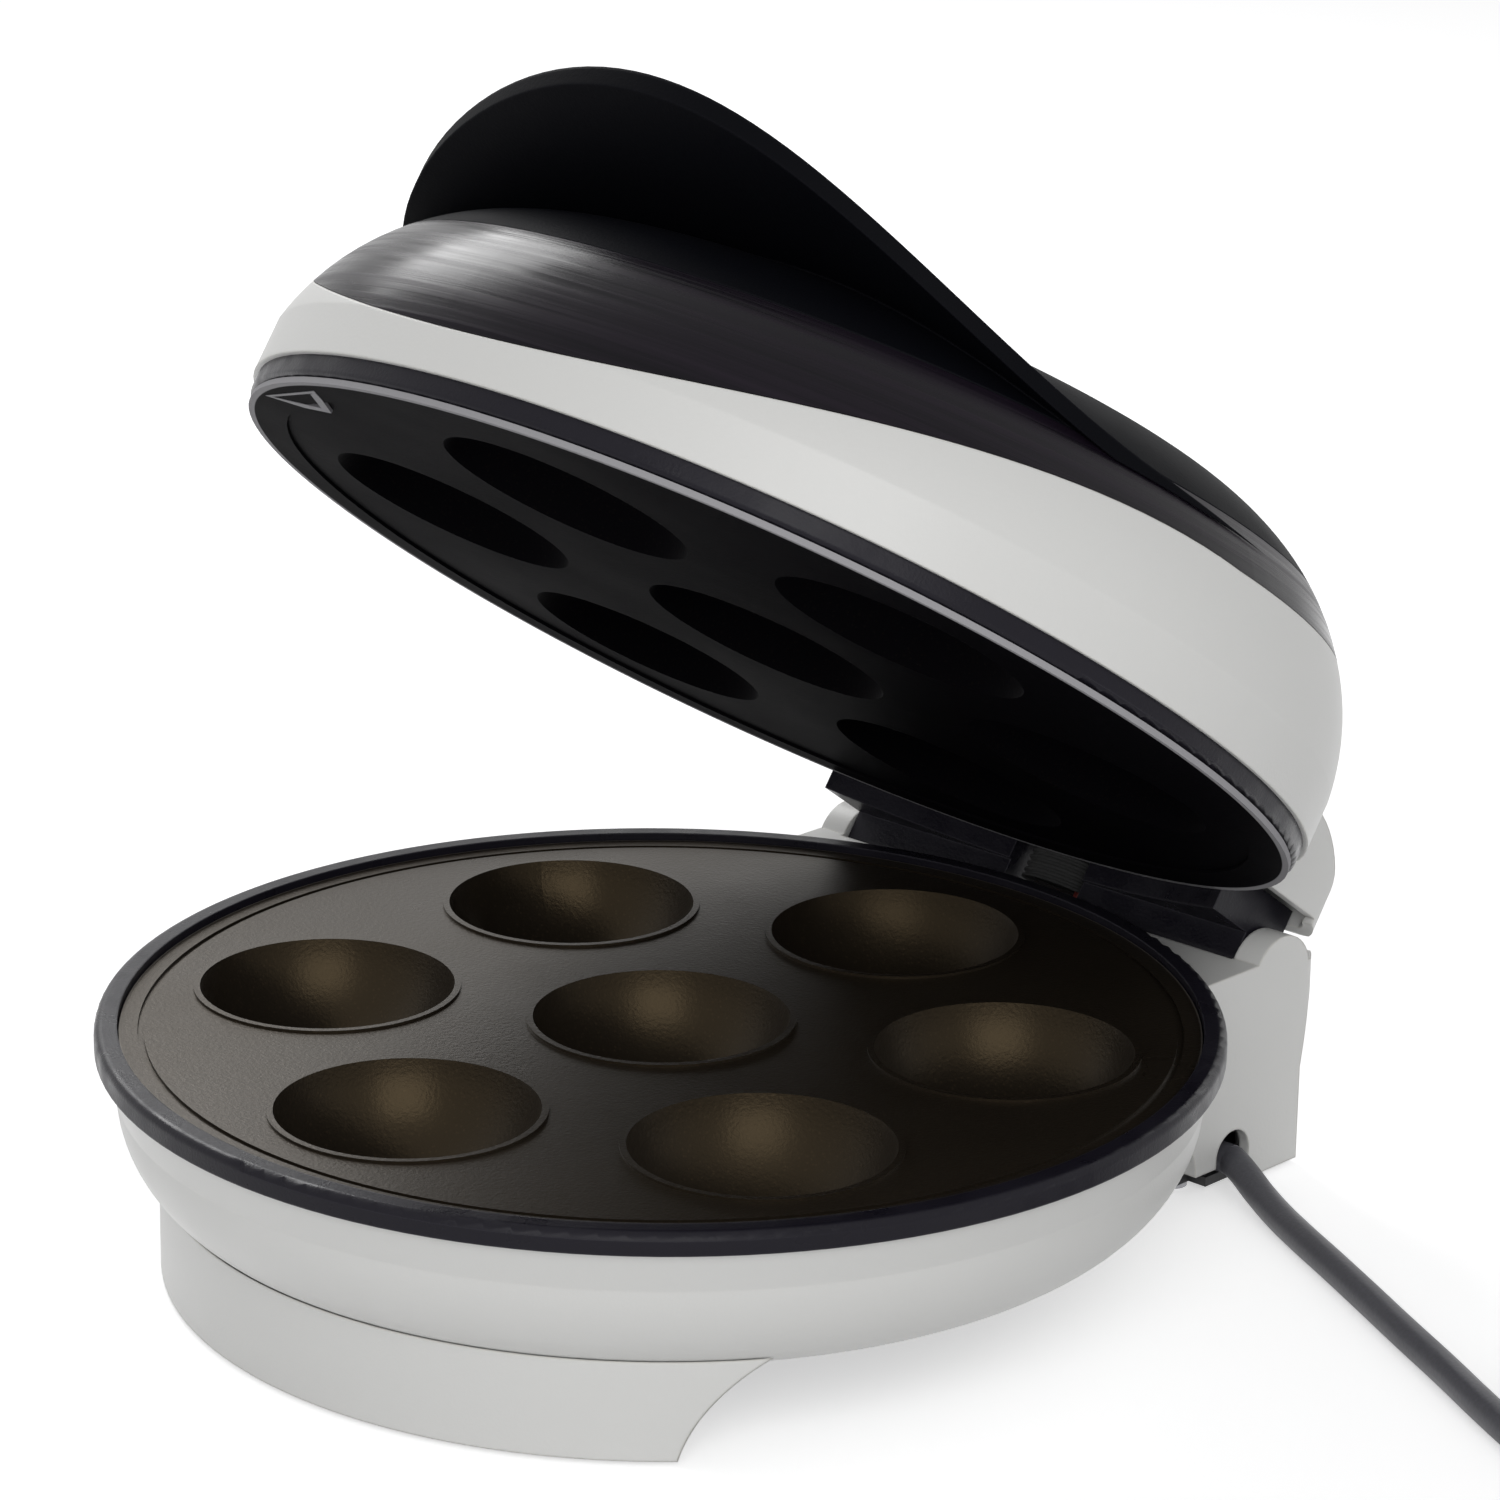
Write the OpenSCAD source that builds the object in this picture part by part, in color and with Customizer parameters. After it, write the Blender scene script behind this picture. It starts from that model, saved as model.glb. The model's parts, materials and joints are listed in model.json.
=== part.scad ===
/* [Overall] */
// Diameter of the black rim round the lower plate
rim_d = 220; // [210:1:230]
// Height of that rim above the table
rim_h = 51; // [50.5:0.5:58]
// Angle at which the lid stands open, in degrees
lid_open = 35.8; // [15:0.1:60]
// Wall of the moulded housings
wall = 2.5; // [2.2:0.1:2.8]

/* [Cavities] */
// Diameter of a cavity at its mouth
cavity_d = 50; // [44:1:52]
// Depth of a cavity in the lower plate
lower_depth = 20; // [16:0.5:21]
// Depth of a cavity in the upper plate
upper_depth = 16; // [12:0.5:17]
// Cavities round the middle one
cavity_ring_n = 6; // [6:1:6]
// Radius of the circle that they stand on
cavity_ring_r = 68; // [66:0.5:69]
// Sheet of the cooking plates
plate_t = 1.8; // [1.6:0.1:2]
// Height of the lip round each lower cavity
lip_h = 0.5; // [0.3:0.1:0.8]

/* [Base] */
// Radius of the bowl's lower curve
knee_r = 22; // [21:0.5:23]
// Height of the black trim ring on the rim
trim_h = 4.5; // [4:0.1:5]
// Radius of the opening under the bowl
hatch_r = 74; // [70:1:75]
// Radius of the front foot's wall
foot_r = 98; // [97:0.5:99]
// Depth of the front foot, from its outer to its inner wall
foot_depth = 20.5; // [18:0.5:20.5]
// Radius of the curve that cuts the foot's flanks
flank_r = 30.5; // [29:0.5:32]
// Diameter of a rubber pad
pad_d = 12; // [10:0.5:13]
// Height by which the pads lift the housing off the table
pad_lift = 1; // [0.6:0.1:1.5]

/* [Tower and hinge] */
// Width of the hinge tower
tower_w = 120; // [116:1:124]
// Width between the tower's cheeks
trough_w = 107; // [104:1:110]
// Distance of the hinge axis behind the rim
hinge_back = 9; // [8.5:0.1:9.5]
// Depth of the hinge axis below the rim
hinge_drop = 8.7; // [8.5:0.1:9]
// Radius of the hinge barrels on the lid
barrel_r = 8; // [7.5:0.1:8.1]
// Diameter of the hinge pins
pin_d = 5; // [4:0.5:6]
// Radial running clearance of the pins
pin_clearance = 0.05; // [0.03:0.01:0.08]
// Width of the cord's notch in the tower's side
notch_w = 10.5; // [10:0.5:11.5]

/* [Lid] */
// Overhang of the lid beyond the rim
lid_overhang = 2; // [1.8:0.1:2.5]
// Height of the dome's top above the rim
dome_h = 60; // [58:0.5:63]
// Radius of the dome's shoulder
shoulder_r = 50; // [48:0.5:51]
// Tilt of the dome, rear up, in degrees
dome_tilt = 4; // [3:0.25:5]
// Height of the lid's black ring
frame_h = 4.3; // [4:0.1:4.6]
// Height of the white band at the lid's rear
band_h = 37; // [35:0.5:38]
// Radius of the curve that lowers the white band to the front
band_r = 256; // [240:1:280]

/* [Handle] */
// Radius of the visor in plan
visor_r = 99.5; // [98:0.5:100.5]
// Thickness of the visor
visor_t = 3; // [2.6:0.1:3.4]
// Radius of the visor's upward curve
visor_bend_r = 119; // [115:1:125]
// Height of the lowest line of the visor above the rim
visor_low_h = 52.3; // [51:0.1:53.5]
// Radius of the visor's curve from side to side
visor_cross_r = 622.8; // [580:1:680]

/* [Heating] */
// Radius of the heating rings
heater_r = 34; // [33.5:0.1:34.5]
// Diameter of the heating tube
heater_d = 6.5; // [6:0.1:6.6]
// Thickness of the reflector sheets
sheet_t = 0.8; // [0.6:0.1:1]
// Depth of the reflectors behind the plates' lands
reflector_depth = 21; // [20.8:0.1:21.4]

/* [Fasteners] */
// Diameter of the housing screws
screw_d = 3; // [2.5:0.1:3.2]
// Diameter of a screw's head
screw_head_d = 5.6; // [5:0.1:6]
// Height of a screw's head
screw_head_h = 1.8; // [1.4:0.1:2]
// Diameter of the screw bosses
boss_d = 7; // [6.4:0.1:7.2]

/* [Cord] */
// Diameter of the power cord
cord_d = 6.3; // [5.5:0.1:6.8]
// Length of the plug's moulded body
plug_len = 36; // [32:1:42]

/* [Hidden] */
$fn = 96;

// small distances that hold everywhere
gap = 0.3;
fit = 0.1;
over = 1;

// radii that follow the rim; heights are measured from the rim's top
rim_r = rim_d / 2;
lid_r = rim_r + lid_overhang;
shell_top_r = rim_r - 1;
floor_z = -rim_h;
foot_z = floor_z + pad_lift;
trim_in_r = rim_r - 4.5;
plate_r = trim_in_r - gap;
lower_land_z = -1.5;
upper_land_z = 1.2;
lower_back_z = lower_land_z - plate_t;
upper_back_z = upper_land_z + plate_t;

// bowl
knee_x = rim_r - 4 - knee_r;
knee_z = -13;
bowl_z = knee_z - knee_r;

// front foot: where its flanks' curve is centred
flank_y = -38;

// screw stations, between the cavities
boss_r = boss_d / 2;
tower_boss_r = 3;
bore_r = screw_d / 2 + 0.15;
hole_r = screw_d / 2 + 0.4;
head_r = screw_head_d / 2;
rim_station_r = rim_r - 10;
post_station_r = rim_r - 26;
hatch_station_r = hatch_r - 4;
foot_station_r = foot_r - foot_depth / 2;
cavity_r = cavity_d / 2;

// yokes and lugs under the rim
yoke_z = -12;
yoke_t = 2;
lug_t = 3;

// hinge and tower, y behind the plates' centre
hinge_y = rim_r + hinge_back;
hinge_z = -hinge_drop;
tower_x = tower_w / 2;
trough_x = trough_w / 2;
corner_r = 6;
deck_z = -4;
cheek_r = 9;
knuckle_r = 12.5;
knuckle_from = -35;
knuckle_to = 10;
trough_r = barrel_r + 0.5;
tower_rear_y = hinge_y + 7.4;
tower_front_y = hinge_y - 25.5;
arch_r = 9.5;
arch_z = bowl_z - arch_r;
step_y = hinge_y - 19;
step_z = floor_z + 6;
sill_z = hinge_z - trough_r + 0.7;
pin_r = pin_d / 2;
pin_in_x = 24;
pin_out_x = tower_x - 1.5;
barrel_in_x = 10;
barrel_out_x = trough_x - 0.5;
bar_front_y = hinge_y - barrel_r;
bar_rear_y = hinge_y + 3.9;

// heel of the lid over the hinge
heel_r = 24;
heel_y = hinge_y - 16.5;
heel_z = 1;
heel_side_z = 5.5;
heel_rear_z = 2.5;

// lid
flange_r = rim_r + 0.4;
flange_z = 0.6;
flange_t = 1.2;
frame_r = rim_r + 1;
frame_z = 1.9;
shell_z = frame_z + frame_h;
locating_h = 3.8;
shoulder_x = lid_r + 0.6 - shoulder_r;
shoulder_z = dome_h - shoulder_r;
band_y = -8;
band_slope = 0.05;
tab_z = 9;
tab_t = 2.5;
crown_r = lid_r - 16;
cap_flange_z = 41.8;
cap_flange_t = 2;
cap_station_r = lid_r - 20;
collar_gap = 0.3;
collar_t = 2;
collar_h = 5;
visor_y = -30;
visor_end_y = 15;
visor_z = visor_low_h + visor_bend_r;

// cups
function sphere_r(a, h) = (a * a + h * h) / (2 * h);
lower_cup_r = sphere_r(cavity_r, lower_depth);
lower_cup_z = lower_land_z - lower_depth + lower_cup_r;
upper_cup_r = sphere_r(cavity_r, upper_depth);
upper_cup_z = upper_land_z + upper_depth - upper_cup_r;

// reflectors
reflector_r = rim_station_r - boss_r - 0.2;
lower_pan_z = lower_back_z - reflector_depth;
upper_pan_z = upper_back_z + reflector_depth - 3;
lead_hole_r = 3;
terminal_a = 30;
terminal_r = 1.6;

// inner leads
wire_r = 1.2;
lead_r = 1.8;
wire_sides = 8;

// tower floor
cover_t = 2;
cover_z = floor_z + 1.25;
cover_top = cover_z + cover_t;
low_head_h = 1;
notch_y = hinge_y - 13.75;
notch_top_z = -38;
cord_r = cord_d / 2;
cord_z = floor_z + 6.5;
clamp_x = 40;
clamp_w = 10;
clamp_top_z = cord_z + cord_r + 2.8;
clamp_half = 8;
block_top_z = -33;

// the origin lies under the middle of the object as it stands open
rear_reach = hinge_y + (heel_y - hinge_y) * cos(lid_open) + (heel_z - hinge_z) * sin(lid_open) + heel_r;
plate_y = (rim_r - rear_reach) / 2;

// the cord's way over the table, from the notch to the coil
cord_route = [
  [60, 92.6, 6.5], [62, 92.6, 6.5], [67, 89.6, 5.8], [72, 86.4, 4.6], [80, 82.4, 3.5],
  [90, 77.2, 3.2], [102, 71, 3.2], [116, 63.6, 3.2], [132, 55, 3.2], [148, 46.6, 3.2],
  [163, 38.4, 3.2], [175, 32.2, 3.2], [189, 25.7, 3.2]
];
cord_sides = 12;
coil_center = [205, 60];
coil_mean_r = 34.65;
coil_end_a = 50;
coil_lift = 0.05;
plug_axis_z = 11.5;
plug_start = 14;
relief_len = 26;
plug_w = 30;
plug_h = 22.6;
blade_len = 18;

// frames
module at_base() {
  translate([0, plate_y, rim_h]) children();
}

module at_lid() {
  translate([0, plate_y + hinge_y, rim_h + hinge_z])
    rotate([-lid_open, 0, 0])
      translate([0, -hinge_y, -hinge_z]) children();
}

module tilted() {
  rotate([dome_tilt, 0, 0]) children();
}

// shared shapes
module along_x(w) {
  translate([-w / 2, 0, 0]) rotate([90, 0, 90]) linear_extrude(w) children();
}

module stations(n, r, start) {
  for (i = [0 : n - 1]) rotate([0, 0, start + i * 360 / n]) translate([r, 0, 0]) children();
}

module tube(r_out, r_in, z0, z1) {
  difference() {
    translate([0, 0, z0]) cylinder(r = r_out, h = z1 - z0);
    translate([0, 0, z0 - over]) cylinder(r = r_in, h = z1 - z0 + 2 * over);
  }
}

module rod(r, z0, z1) {
  translate([0, 0, z0]) cylinder(r = r, h = z1 - z0, $fn = 48);
}

module block(x, y, z) {
  translate([x[0], y[0], z[0]]) cube([x[1] - x[0], y[1] - y[0], z[1] - z[0]]);
}

// a screw whose head's underside is at z; it points up where way is 1, down where it is -1
module screw(z, reach, way = 1, head_h = screw_head_h) {
  if (way > 0) {
    rod(head_r, z - head_h, z);
    rod(screw_d / 2, z - head_h / 2, z + reach);
  } else {
    rod(head_r, z, z + head_h);
    rod(screw_d / 2, z - reach, z + head_h / 2);
  }
}

module rounded_plan(half_w, front, rear, r) {
  translate([-half_w, front]) square([2 * half_w, rear - front - r]);
  translate([-half_w + r, front]) square([2 * (half_w - r), rear - front]);
  for (s = [-1, 1]) translate([s * (half_w - r), rear - r]) circle(r);
}

module hinge_rod(r, x0, x1) {
  translate([x0, hinge_y, hinge_z]) rotate([0, 90, 0]) cylinder(r = r, h = x1 - x0);
}

// a tube swept along points, each ring turned as little as the bend allows
function unit(v) = v / norm(v);
function heading(p, i) = unit(p[min(i + 1, len(p) - 1)] - p[max(i - 1, 0)]);
function side_at(p, i) =
  let (t = heading(p, i), s = i == 0 ? cross(t, abs(t[2]) < 0.9 ? [0, 0, 1] : [1, 0, 0]) : side_at(p, i - 1))
  unit(s - (s * t) * t);
function ring_at(p, i, r, n) =
  let (side = side_at(p, i), up = cross(side, heading(p, i)))
  [for (k = [0 : n - 1]) p[i] + r * cos(k * 360 / n) * side + r * sin(k * 360 / n) * up];

module sweep(p, r, n) {
  m = len(p);
  points = [for (i = [0 : m - 1]) each ring_at(p, i, r, n)];
  sides = [for (i = [0 : m - 2], k = [0 : n - 1])
    [i * n + k, i * n + (k + 1) % n, (i + 1) * n + (k + 1) % n, (i + 1) * n + k]];
  ends = [[for (k = [n - 1 : -1 : 0]) k], [for (k = [0 : n - 1]) (m - 1) * n + k]];
  polyhedron(points = points, faces = concat(sides, ends));
}

// cavities of a plate: one in the middle and a ring of them
module at_cavities() {
  children();
  stations(cavity_ring_n, cavity_ring_r, 180 / cavity_ring_n) children();
}

// base housing
module bowl_section(inset) {
  r = knee_r - inset;
  polygon([
    [0, knee_z - r], [knee_x, knee_z - r], [knee_x, knee_z], [knee_x + r, knee_z],
    [shell_top_r - inset * 1.06, -trim_h], [0, -trim_h]
  ]);
  intersection() {
    translate([knee_x, knee_z]) circle(r);
    translate([knee_x, knee_z - r]) square([r, r]);
  }
}

module bowl_solid(inset) {
  rotate_extrude($fn = 128) bowl_section(inset);
}

module knuckle_sector(r) {
  intersection() {
    circle(r);
    polygon([
      [0, 0], 2 * r * [cos(knuckle_from), sin(knuckle_from)], [2 * r, 0],
      2 * r * [cos(knuckle_to), sin(knuckle_to)]
    ]);
  }
}

module tower_side(inset) {
  knuckle = [hinge_y + knuckle_r * cos(knuckle_from), hinge_z + knuckle_r * sin(knuckle_from)];
  difference() {
    union() {
      polygon([
        [knee_x - 20, deck_z - inset], [hinge_y - 8 - inset, deck_z - inset], [hinge_y, hinge_z],
        [knuckle[0] - inset, knuckle[1]], [tower_rear_y - inset, -30],
        [tower_rear_y - inset, foot_z - (inset > 0 ? over : 0)], [knee_x - 20, foot_z - (inset > 0 ? over : 0)]
      ]);
      if (inset == 0) translate([hinge_y, hinge_z]) circle(cheek_r);
      if (inset == 0) translate([hinge_y, hinge_z]) knuckle_sector(knuckle_r);
    }
    translate([tower_front_y - arch_r, arch_z]) circle(arch_r + inset);
    translate([0, floor_z - over]) square([tower_front_y - arch_r, bowl_z + inset - floor_z + over]);
    translate([0, floor_z - over]) square([tower_front_y + inset, arch_z - floor_z + over]);
    if (inset > 0) translate([hinge_y, hinge_z]) circle(trough_r + wall);
  }
}

module tower_solid(inset) {
  intersection() {
    along_x(tower_w - 2 * inset) tower_side(inset);
    translate([0, 0, floor_z - over])
      linear_extrude(rim_h + 10)
        rounded_plan(tower_x - inset, 0, hinge_y + knuckle_r + over, corner_r - inset);
  }
}

module notch_cut() {
  translate([tower_x - wall - over, notch_y, notch_top_z - notch_w / 2])
    rotate([0, 90, 0]) cylinder(r = notch_w / 2, h = wall + 2 * over);
  block([tower_x - wall - over, tower_x + over], [notch_y - notch_w / 2, notch_y + notch_w / 2],
        [floor_z, notch_top_z - notch_w / 2]);
}

module tower_boss_places() {
  for (s = [-1, 1]) {
    translate([s * (tower_x - 10), tower_front_y + wall + head_r + fit, 0]) children();
    translate([s * (tower_x - 8), tower_rear_y - wall - head_r - fit, 0]) children();
  }
}

module base_shell() {
  color("#e4e4e0") at_base() difference() {
    union() {
      difference() {
        union() {
          bowl_solid(0);
          tower_solid(0);
        }
        bowl_solid(wall);
        tower_solid(wall);
        // seat of the trim ring
        translate([0, 0, -trim_h]) cylinder(r = rim_r + gap / 2, h = 20, $fn = 128);
        // the hatch under the bowl
        translate([0, 0, bowl_z - over]) cylinder(r = hatch_r, h = wall + 2 * over);
      }
      // hatch lugs and their bosses
      intersection() {
        translate([0, 0, bowl_z]) cylinder(r = hatch_r + over, h = knee_r);
        stations(4, hatch_station_r, 45) {
          rod(boss_r, bowl_z, bowl_z + 9);
          block([0, 6], [-boss_r, boss_r], [bowl_z, bowl_z + wall]);
        }
      }
      // bosses that the front foot is screwed to
      foot_screw_places() rod(boss_r, bowl_z + 1.2, bowl_z + 9);
      // lugs that hold the trim ring
      stations(3, rim_station_r, 60)
        block([-boss_r, 4.6], [-4, 4], [yoke_z, yoke_z + lug_t - fit]);
      block([rim_station_r / 2 - 4, tower_x - over], [rim_station_r * 0.866 - 4, rim_station_r * 0.866 + 4],
            [yoke_z, yoke_z + lug_t - fit]);
      // bosses for the tower's cover, each with a web to the wall beside it
      tower_boss_places() rod(tower_boss_r, cover_top, cover_top + 12);
      for (s = [-1, 1]) {
        translate([s * (tower_x - 10), 0, 0])
          block([-1.2, 1.2], [tower_front_y + wall / 2, tower_front_y + wall + head_r], [cover_top, cover_top + 12]);
        translate([s * (tower_x - 8), 0, 0])
          block([-1.2, 1.2], [tower_rear_y - wall - head_r, tower_rear_y - wall / 2], [cover_top, cover_top + 12]);
      }
    }
    // the trough between the cheeks, open above and behind
    hinge_rod(trough_r, -trough_x, trough_x);
    block([-trough_x, trough_x], [hinge_y - trough_r, hinge_y + 20], [hinge_z, 5]);
    block([-trough_x, trough_x], [hinge_y, hinge_y + 20], [sill_z, 5]);
    // blind seats of the hinge pins in the cheeks
    for (s = [-1, 1]) hinge_rod(pin_r + 0.02, s > 0 ? trough_x - over : -pin_out_x, s > 0 ? pin_out_x : over - trough_x);
    // way of the lead through the trough
    translate([-5, hinge_y, 0]) rod(lead_hole_r, hinge_z - trough_r - 2 * wall, hinge_z);
    stations(4, hatch_station_r, 45) rod(bore_r, bowl_z - over, bowl_z + 8);
    foot_screw_places() rod(bore_r, bowl_z - over, bowl_z + 8);
    stations(3, rim_station_r, 60) rod(hole_r, yoke_z - over, yoke_z + lug_t + over);
    tower_boss_places() rod(bore_r, cover_top - over, cover_top + 10);
    notch_cut();
    // the side walls' front corners end above the table
    for (s = [-1, 1]) block([s > 0 ? tower_x - 7 : -tower_x - over, s > 0 ? tower_x + over : 7 - tower_x],
                            [tower_front_y - over, step_y], [floor_z - over, step_z]);
  }
}

module foot_body(inset) {
  difference() {
    tube(foot_r - inset, foot_r - foot_depth + inset, foot_z + inset, knee_z);
    block([-rim_r, rim_r], [flank_y, rim_r], [floor_z - over, 0]);
    translate([-rim_r, flank_y, floor_z - 5]) rotate([0, 90, 0]) cylinder(r = flank_r + inset, h = rim_d);
  }
}

module foot_pad_places() {
  for (s = [-1, 1]) rotate([0, 0, -90 + s * 31]) translate([foot_station_r, 0, 0]) children();
}

module foot_screw_places() {
  for (s = [-1, 1]) rotate([0, 0, -90 + s * 15]) translate([foot_station_r, 0, 0]) children();
}

module front_foot() {
  color("#e4e4e0") at_base() difference() {
    union() {
      difference() {
        foot_body(0);
        foot_body(wall);
      }
      intersection() {
        foot_body(0);
        union() {
          foot_pad_places() rod(pad_d / 2 + 2, foot_z, foot_z + 8);
          foot_screw_places() rod(5, foot_z, 0);
        }
      }
    }
    bowl_solid(-0.2);
    foot_pad_places() rod(pad_d / 2 + fit, foot_z - over, foot_z + 2);
    foot_screw_places() {
      rod(head_r + 0.6, foot_z - over, foot_z + 10);
      rod(hole_r, foot_z, 0);
    }
  }
}

module bottom_cover() {
  color("#3a3a3c") at_base() difference() {
    translate([0, 0, bowl_z - cover_t]) cylinder(r = hatch_r + 3, h = cover_t);
    stations(4, hatch_station_r, 45) rod(hole_r, bowl_z - cover_t - over, bowl_z + over);
    for (row = [-3 : 3]) block([-24, 24], [row * 8 - 1.5, row * 8 + 1.5], [bowl_z - cover_t - over, bowl_z + over]);
  }
}

module tower_cover() {
  inner_x = tower_x - wall - gap;
  front = tower_front_y + wall + gap;
  rear = tower_rear_y - wall - gap;
  color("#3a3a3c") at_base() difference() {
    union() {
      translate([0, 0, cover_z]) linear_extrude(cover_t) rounded_plan(inner_x, front, rear, corner_r - wall);
      // lower half of the cord's saddle
      block([clamp_x - clamp_w / 2, clamp_x + clamp_w / 2], [notch_y - clamp_half, notch_y + clamp_half],
            [cover_z + fit, cord_z - fit]);
    }
    for (s = [-1, 1]) block([s > 0 ? tower_x - 7.2 : -tower_x, s > 0 ? tower_x : 7.2 - tower_x],
                            [front - over, step_y + gap], [cover_z - over, cover_top + over]);
    tower_boss_places() rod(hole_r, cover_z - over, cover_top + over);
    translate([0, notch_y, cord_z]) rotate([0, 90, 0]) cylinder(r = cord_r + 0.05, h = tower_x);
    for (s = [-1, 1]) translate([clamp_x, notch_y + s * 5.6, 0]) rod(bore_r, cover_z + 0.6, 0);
  }
}

module rubber_feet() {
  color("#1c1c1c") at_base() {
    foot_pad_places() rod(pad_d / 2, floor_z, foot_z + 2);
    for (s = [-1, 1]) translate([s * 30, hinge_y - 9, 0]) rod(pad_d / 2, floor_z, cover_z);
  }
}

// black ring on the base's rim, with the ledge that the lower plate lies on
module trim_section() {
  round_r = 1.6;
  polygon([
    [trim_in_r, 0], [rim_r - round_r, 0], [rim_r - round_r, -round_r], [rim_r, -round_r],
    [rim_r, -trim_h], [trim_in_r + 0.4, -trim_h], [trim_in_r - 0.2, -trim_h - 1.7],
    [trim_in_r - 4, -trim_h - 1.7], [trim_in_r - 4, lower_back_z], [trim_in_r, lower_back_z]
  ]);
  translate([rim_r - round_r, -round_r]) circle(round_r);
}

module lower_trim_ring() {
  color("#17161a") at_base() difference() {
    union() {
      difference() {
        rotate_extrude($fn = 128) trim_section();
        stations(3, rim_station_r, 0) rod(boss_r + 0.6, yoke_z, lower_back_z + fit);
      }
      // yokes under the plate's bosses
      stations(3, rim_station_r, 0) difference() {
        block([-3.2, 2.8], [-boss_r - 3.4, boss_r + 3.4], [yoke_z, lower_back_z - fit]);
        block([-5, 5], [-boss_r - 0.7, boss_r + 0.7], [yoke_z + yoke_t, 0]);
      }
      stations(3, rim_station_r, 60) rod(boss_r, yoke_z + lug_t, lower_back_z - fit);
    }
    stations(3, rim_station_r, 0) rod(hole_r, yoke_z - over, yoke_z + yoke_t + over);
    stations(3, rim_station_r, 60) rod(bore_r, yoke_z + lug_t - over, lower_back_z - over);
  }
}

module lower_plate() {
  color("#2b2320") at_base() difference() {
    union() {
      translate([0, 0, lower_back_z]) cylinder(r = plate_r, h = plate_t, $fn = 128);
      at_cavities() {
        intersection() {
          translate([0, 0, lower_cup_z]) sphere(r = lower_cup_r + 2);
          rod(cavity_r + 5, lower_land_z - lower_depth - 5, lower_land_z);
        }
        rod(cavity_r + 1.4, lower_land_z - fit, lower_land_z + lip_h);
      }
      stations(3, rim_station_r, 0) rod(boss_r, yoke_z + yoke_t + fit, lower_land_z - 0.4);
      stations(3, post_station_r, 0) rod(boss_r, lower_pan_z, lower_land_z - 0.4);
    }
    at_cavities() {
      translate([0, 0, lower_cup_z]) sphere(r = lower_cup_r);
      rod(cavity_r, lower_land_z, 5);
    }
    tube(plate_r - 3.6, plate_r - 4.8, lower_land_z - 0.6, 0);
    stations(3, rim_station_r, 0) rod(bore_r, yoke_z, lower_back_z - 1.4);
    stations(3, post_station_r, 0) rod(bore_r, lower_pan_z - over, lower_pan_z + 8);
  }
}

// a bent heating tube with its two terminals, which stand a little way in from its ends
module heater(z, reach) {
  rotate([0, 0, 90 + terminal_a - 6]) translate([0, 0, z])
    rotate_extrude(angle = 372 - 2 * terminal_a) translate([heater_r, 0]) circle(heater_d / 2, $fn = 64);
  for (s = [-1, 1]) translate([s * heater_r * sin(terminal_a), heater_r * cos(terminal_a), 0])
    rod(terminal_r, min(z, reach), max(z, reach));
}

lower_heater_z = lower_back_z - heater_d / 2 - 0.05;
upper_heater_z = upper_back_z + heater_d / 2 + 0.05;
lower_reach = lower_pan_z - sheet_t - 2;
upper_reach = upper_pan_z + sheet_t + 1.2;

module lower_heater() {
  color("#6d6a66") at_base() heater(lower_heater_z, lower_reach);
}

// a shallow pan behind a plate; its rim stands on the plate's back
module reflector(pan_z, back_z) {
  low = min(pan_z, back_z);
  high = max(pan_z, back_z);
  difference() {
    union() {
      tube(reflector_r, reflector_r - sheet_t, low, high);
      translate([0, 0, pan_z - (pan_z < back_z ? sheet_t : 0)]) cylinder(r = reflector_r, h = sheet_t);
    }
    for (s = [-1, 1]) translate([s * heater_r * sin(terminal_a), heater_r * cos(terminal_a), 0])
      rod(lead_hole_r, pan_z - 2, pan_z + 2);
    stations(3, post_station_r, 0) rod(hole_r, pan_z - 2, pan_z + 2);
  }
}

module lower_reflector() {
  color("#c2c2c0") at_base() reflector(lower_pan_z, lower_back_z - fit);
}

module thermostat() {
  color("#d8cfb8") at_base() translate([cavity_ring_r + 3, 0, 0]) {
    rod(7, lower_back_z - 6, lower_back_z - fit);
    rod(5, lower_back_z - 11, lower_back_z - 6);
  }
}

module fuse(z) {
  translate([-cavity_ring_r - 3, -7, z]) rotate([-90, 0, 0]) cylinder(r = 1.8, h = 14, $fn = 32);
}

module thermal_fuse() {
  color("#b9a77a") at_base() fuse(lower_back_z - 1.8 - fit);
}

module terminal_block() {
  color("#efe9d8") at_base() difference() {
    block([-35, -5], [hinge_y - 19, hinge_y - 1], [cover_top, block_top_z]);
    for (i = [0 : 2]) translate([-29 + 9 * i, hinge_y - 15, 0]) rod(2, block_top_z - 6, block_top_z + over);
  }
}

module base_leads() {
  terminal_x = heater_r * sin(terminal_a);
  terminal_y = heater_r * cos(terminal_a);
  run_z = lower_reach - 2.3;
  color("#a33b2c") at_base() {
    sweep([[-terminal_x, terminal_y, lower_reach], [-terminal_x, terminal_y, run_z],
              [-25, hinge_y - 11, run_z], [-25, hinge_y - 11, block_top_z]], wire_r, wire_sides);
    sweep([[terminal_x, terminal_y, lower_reach], [terminal_x, terminal_y, run_z],
              [-14, hinge_y - 22, run_z], [-14, hinge_y - 11, run_z],
              [-14, hinge_y - 11, block_top_z]], wire_r, wire_sides);
    sweep([[-8, hinge_y - 5, block_top_z], [-8, hinge_y - 5, -26], [-5, hinge_y, -22],
              [-5, hinge_y, hinge_z], [0, hinge_y, hinge_z]], lead_r, wire_sides);
  }
}

module hinge_pins() {
  color("#b8babd") at_base() {
    hinge_rod(pin_r, -pin_out_x, -pin_in_x);
    hinge_rod(pin_r, pin_in_x, pin_out_x);
  }
}

module inner_cord() {
  color("#18181a") at_base() translate([-5, notch_y, cord_z])
    rotate([0, 90, 0]) cylinder(r = cord_r, h = tower_x + 5, $fn = 48);
}

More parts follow.
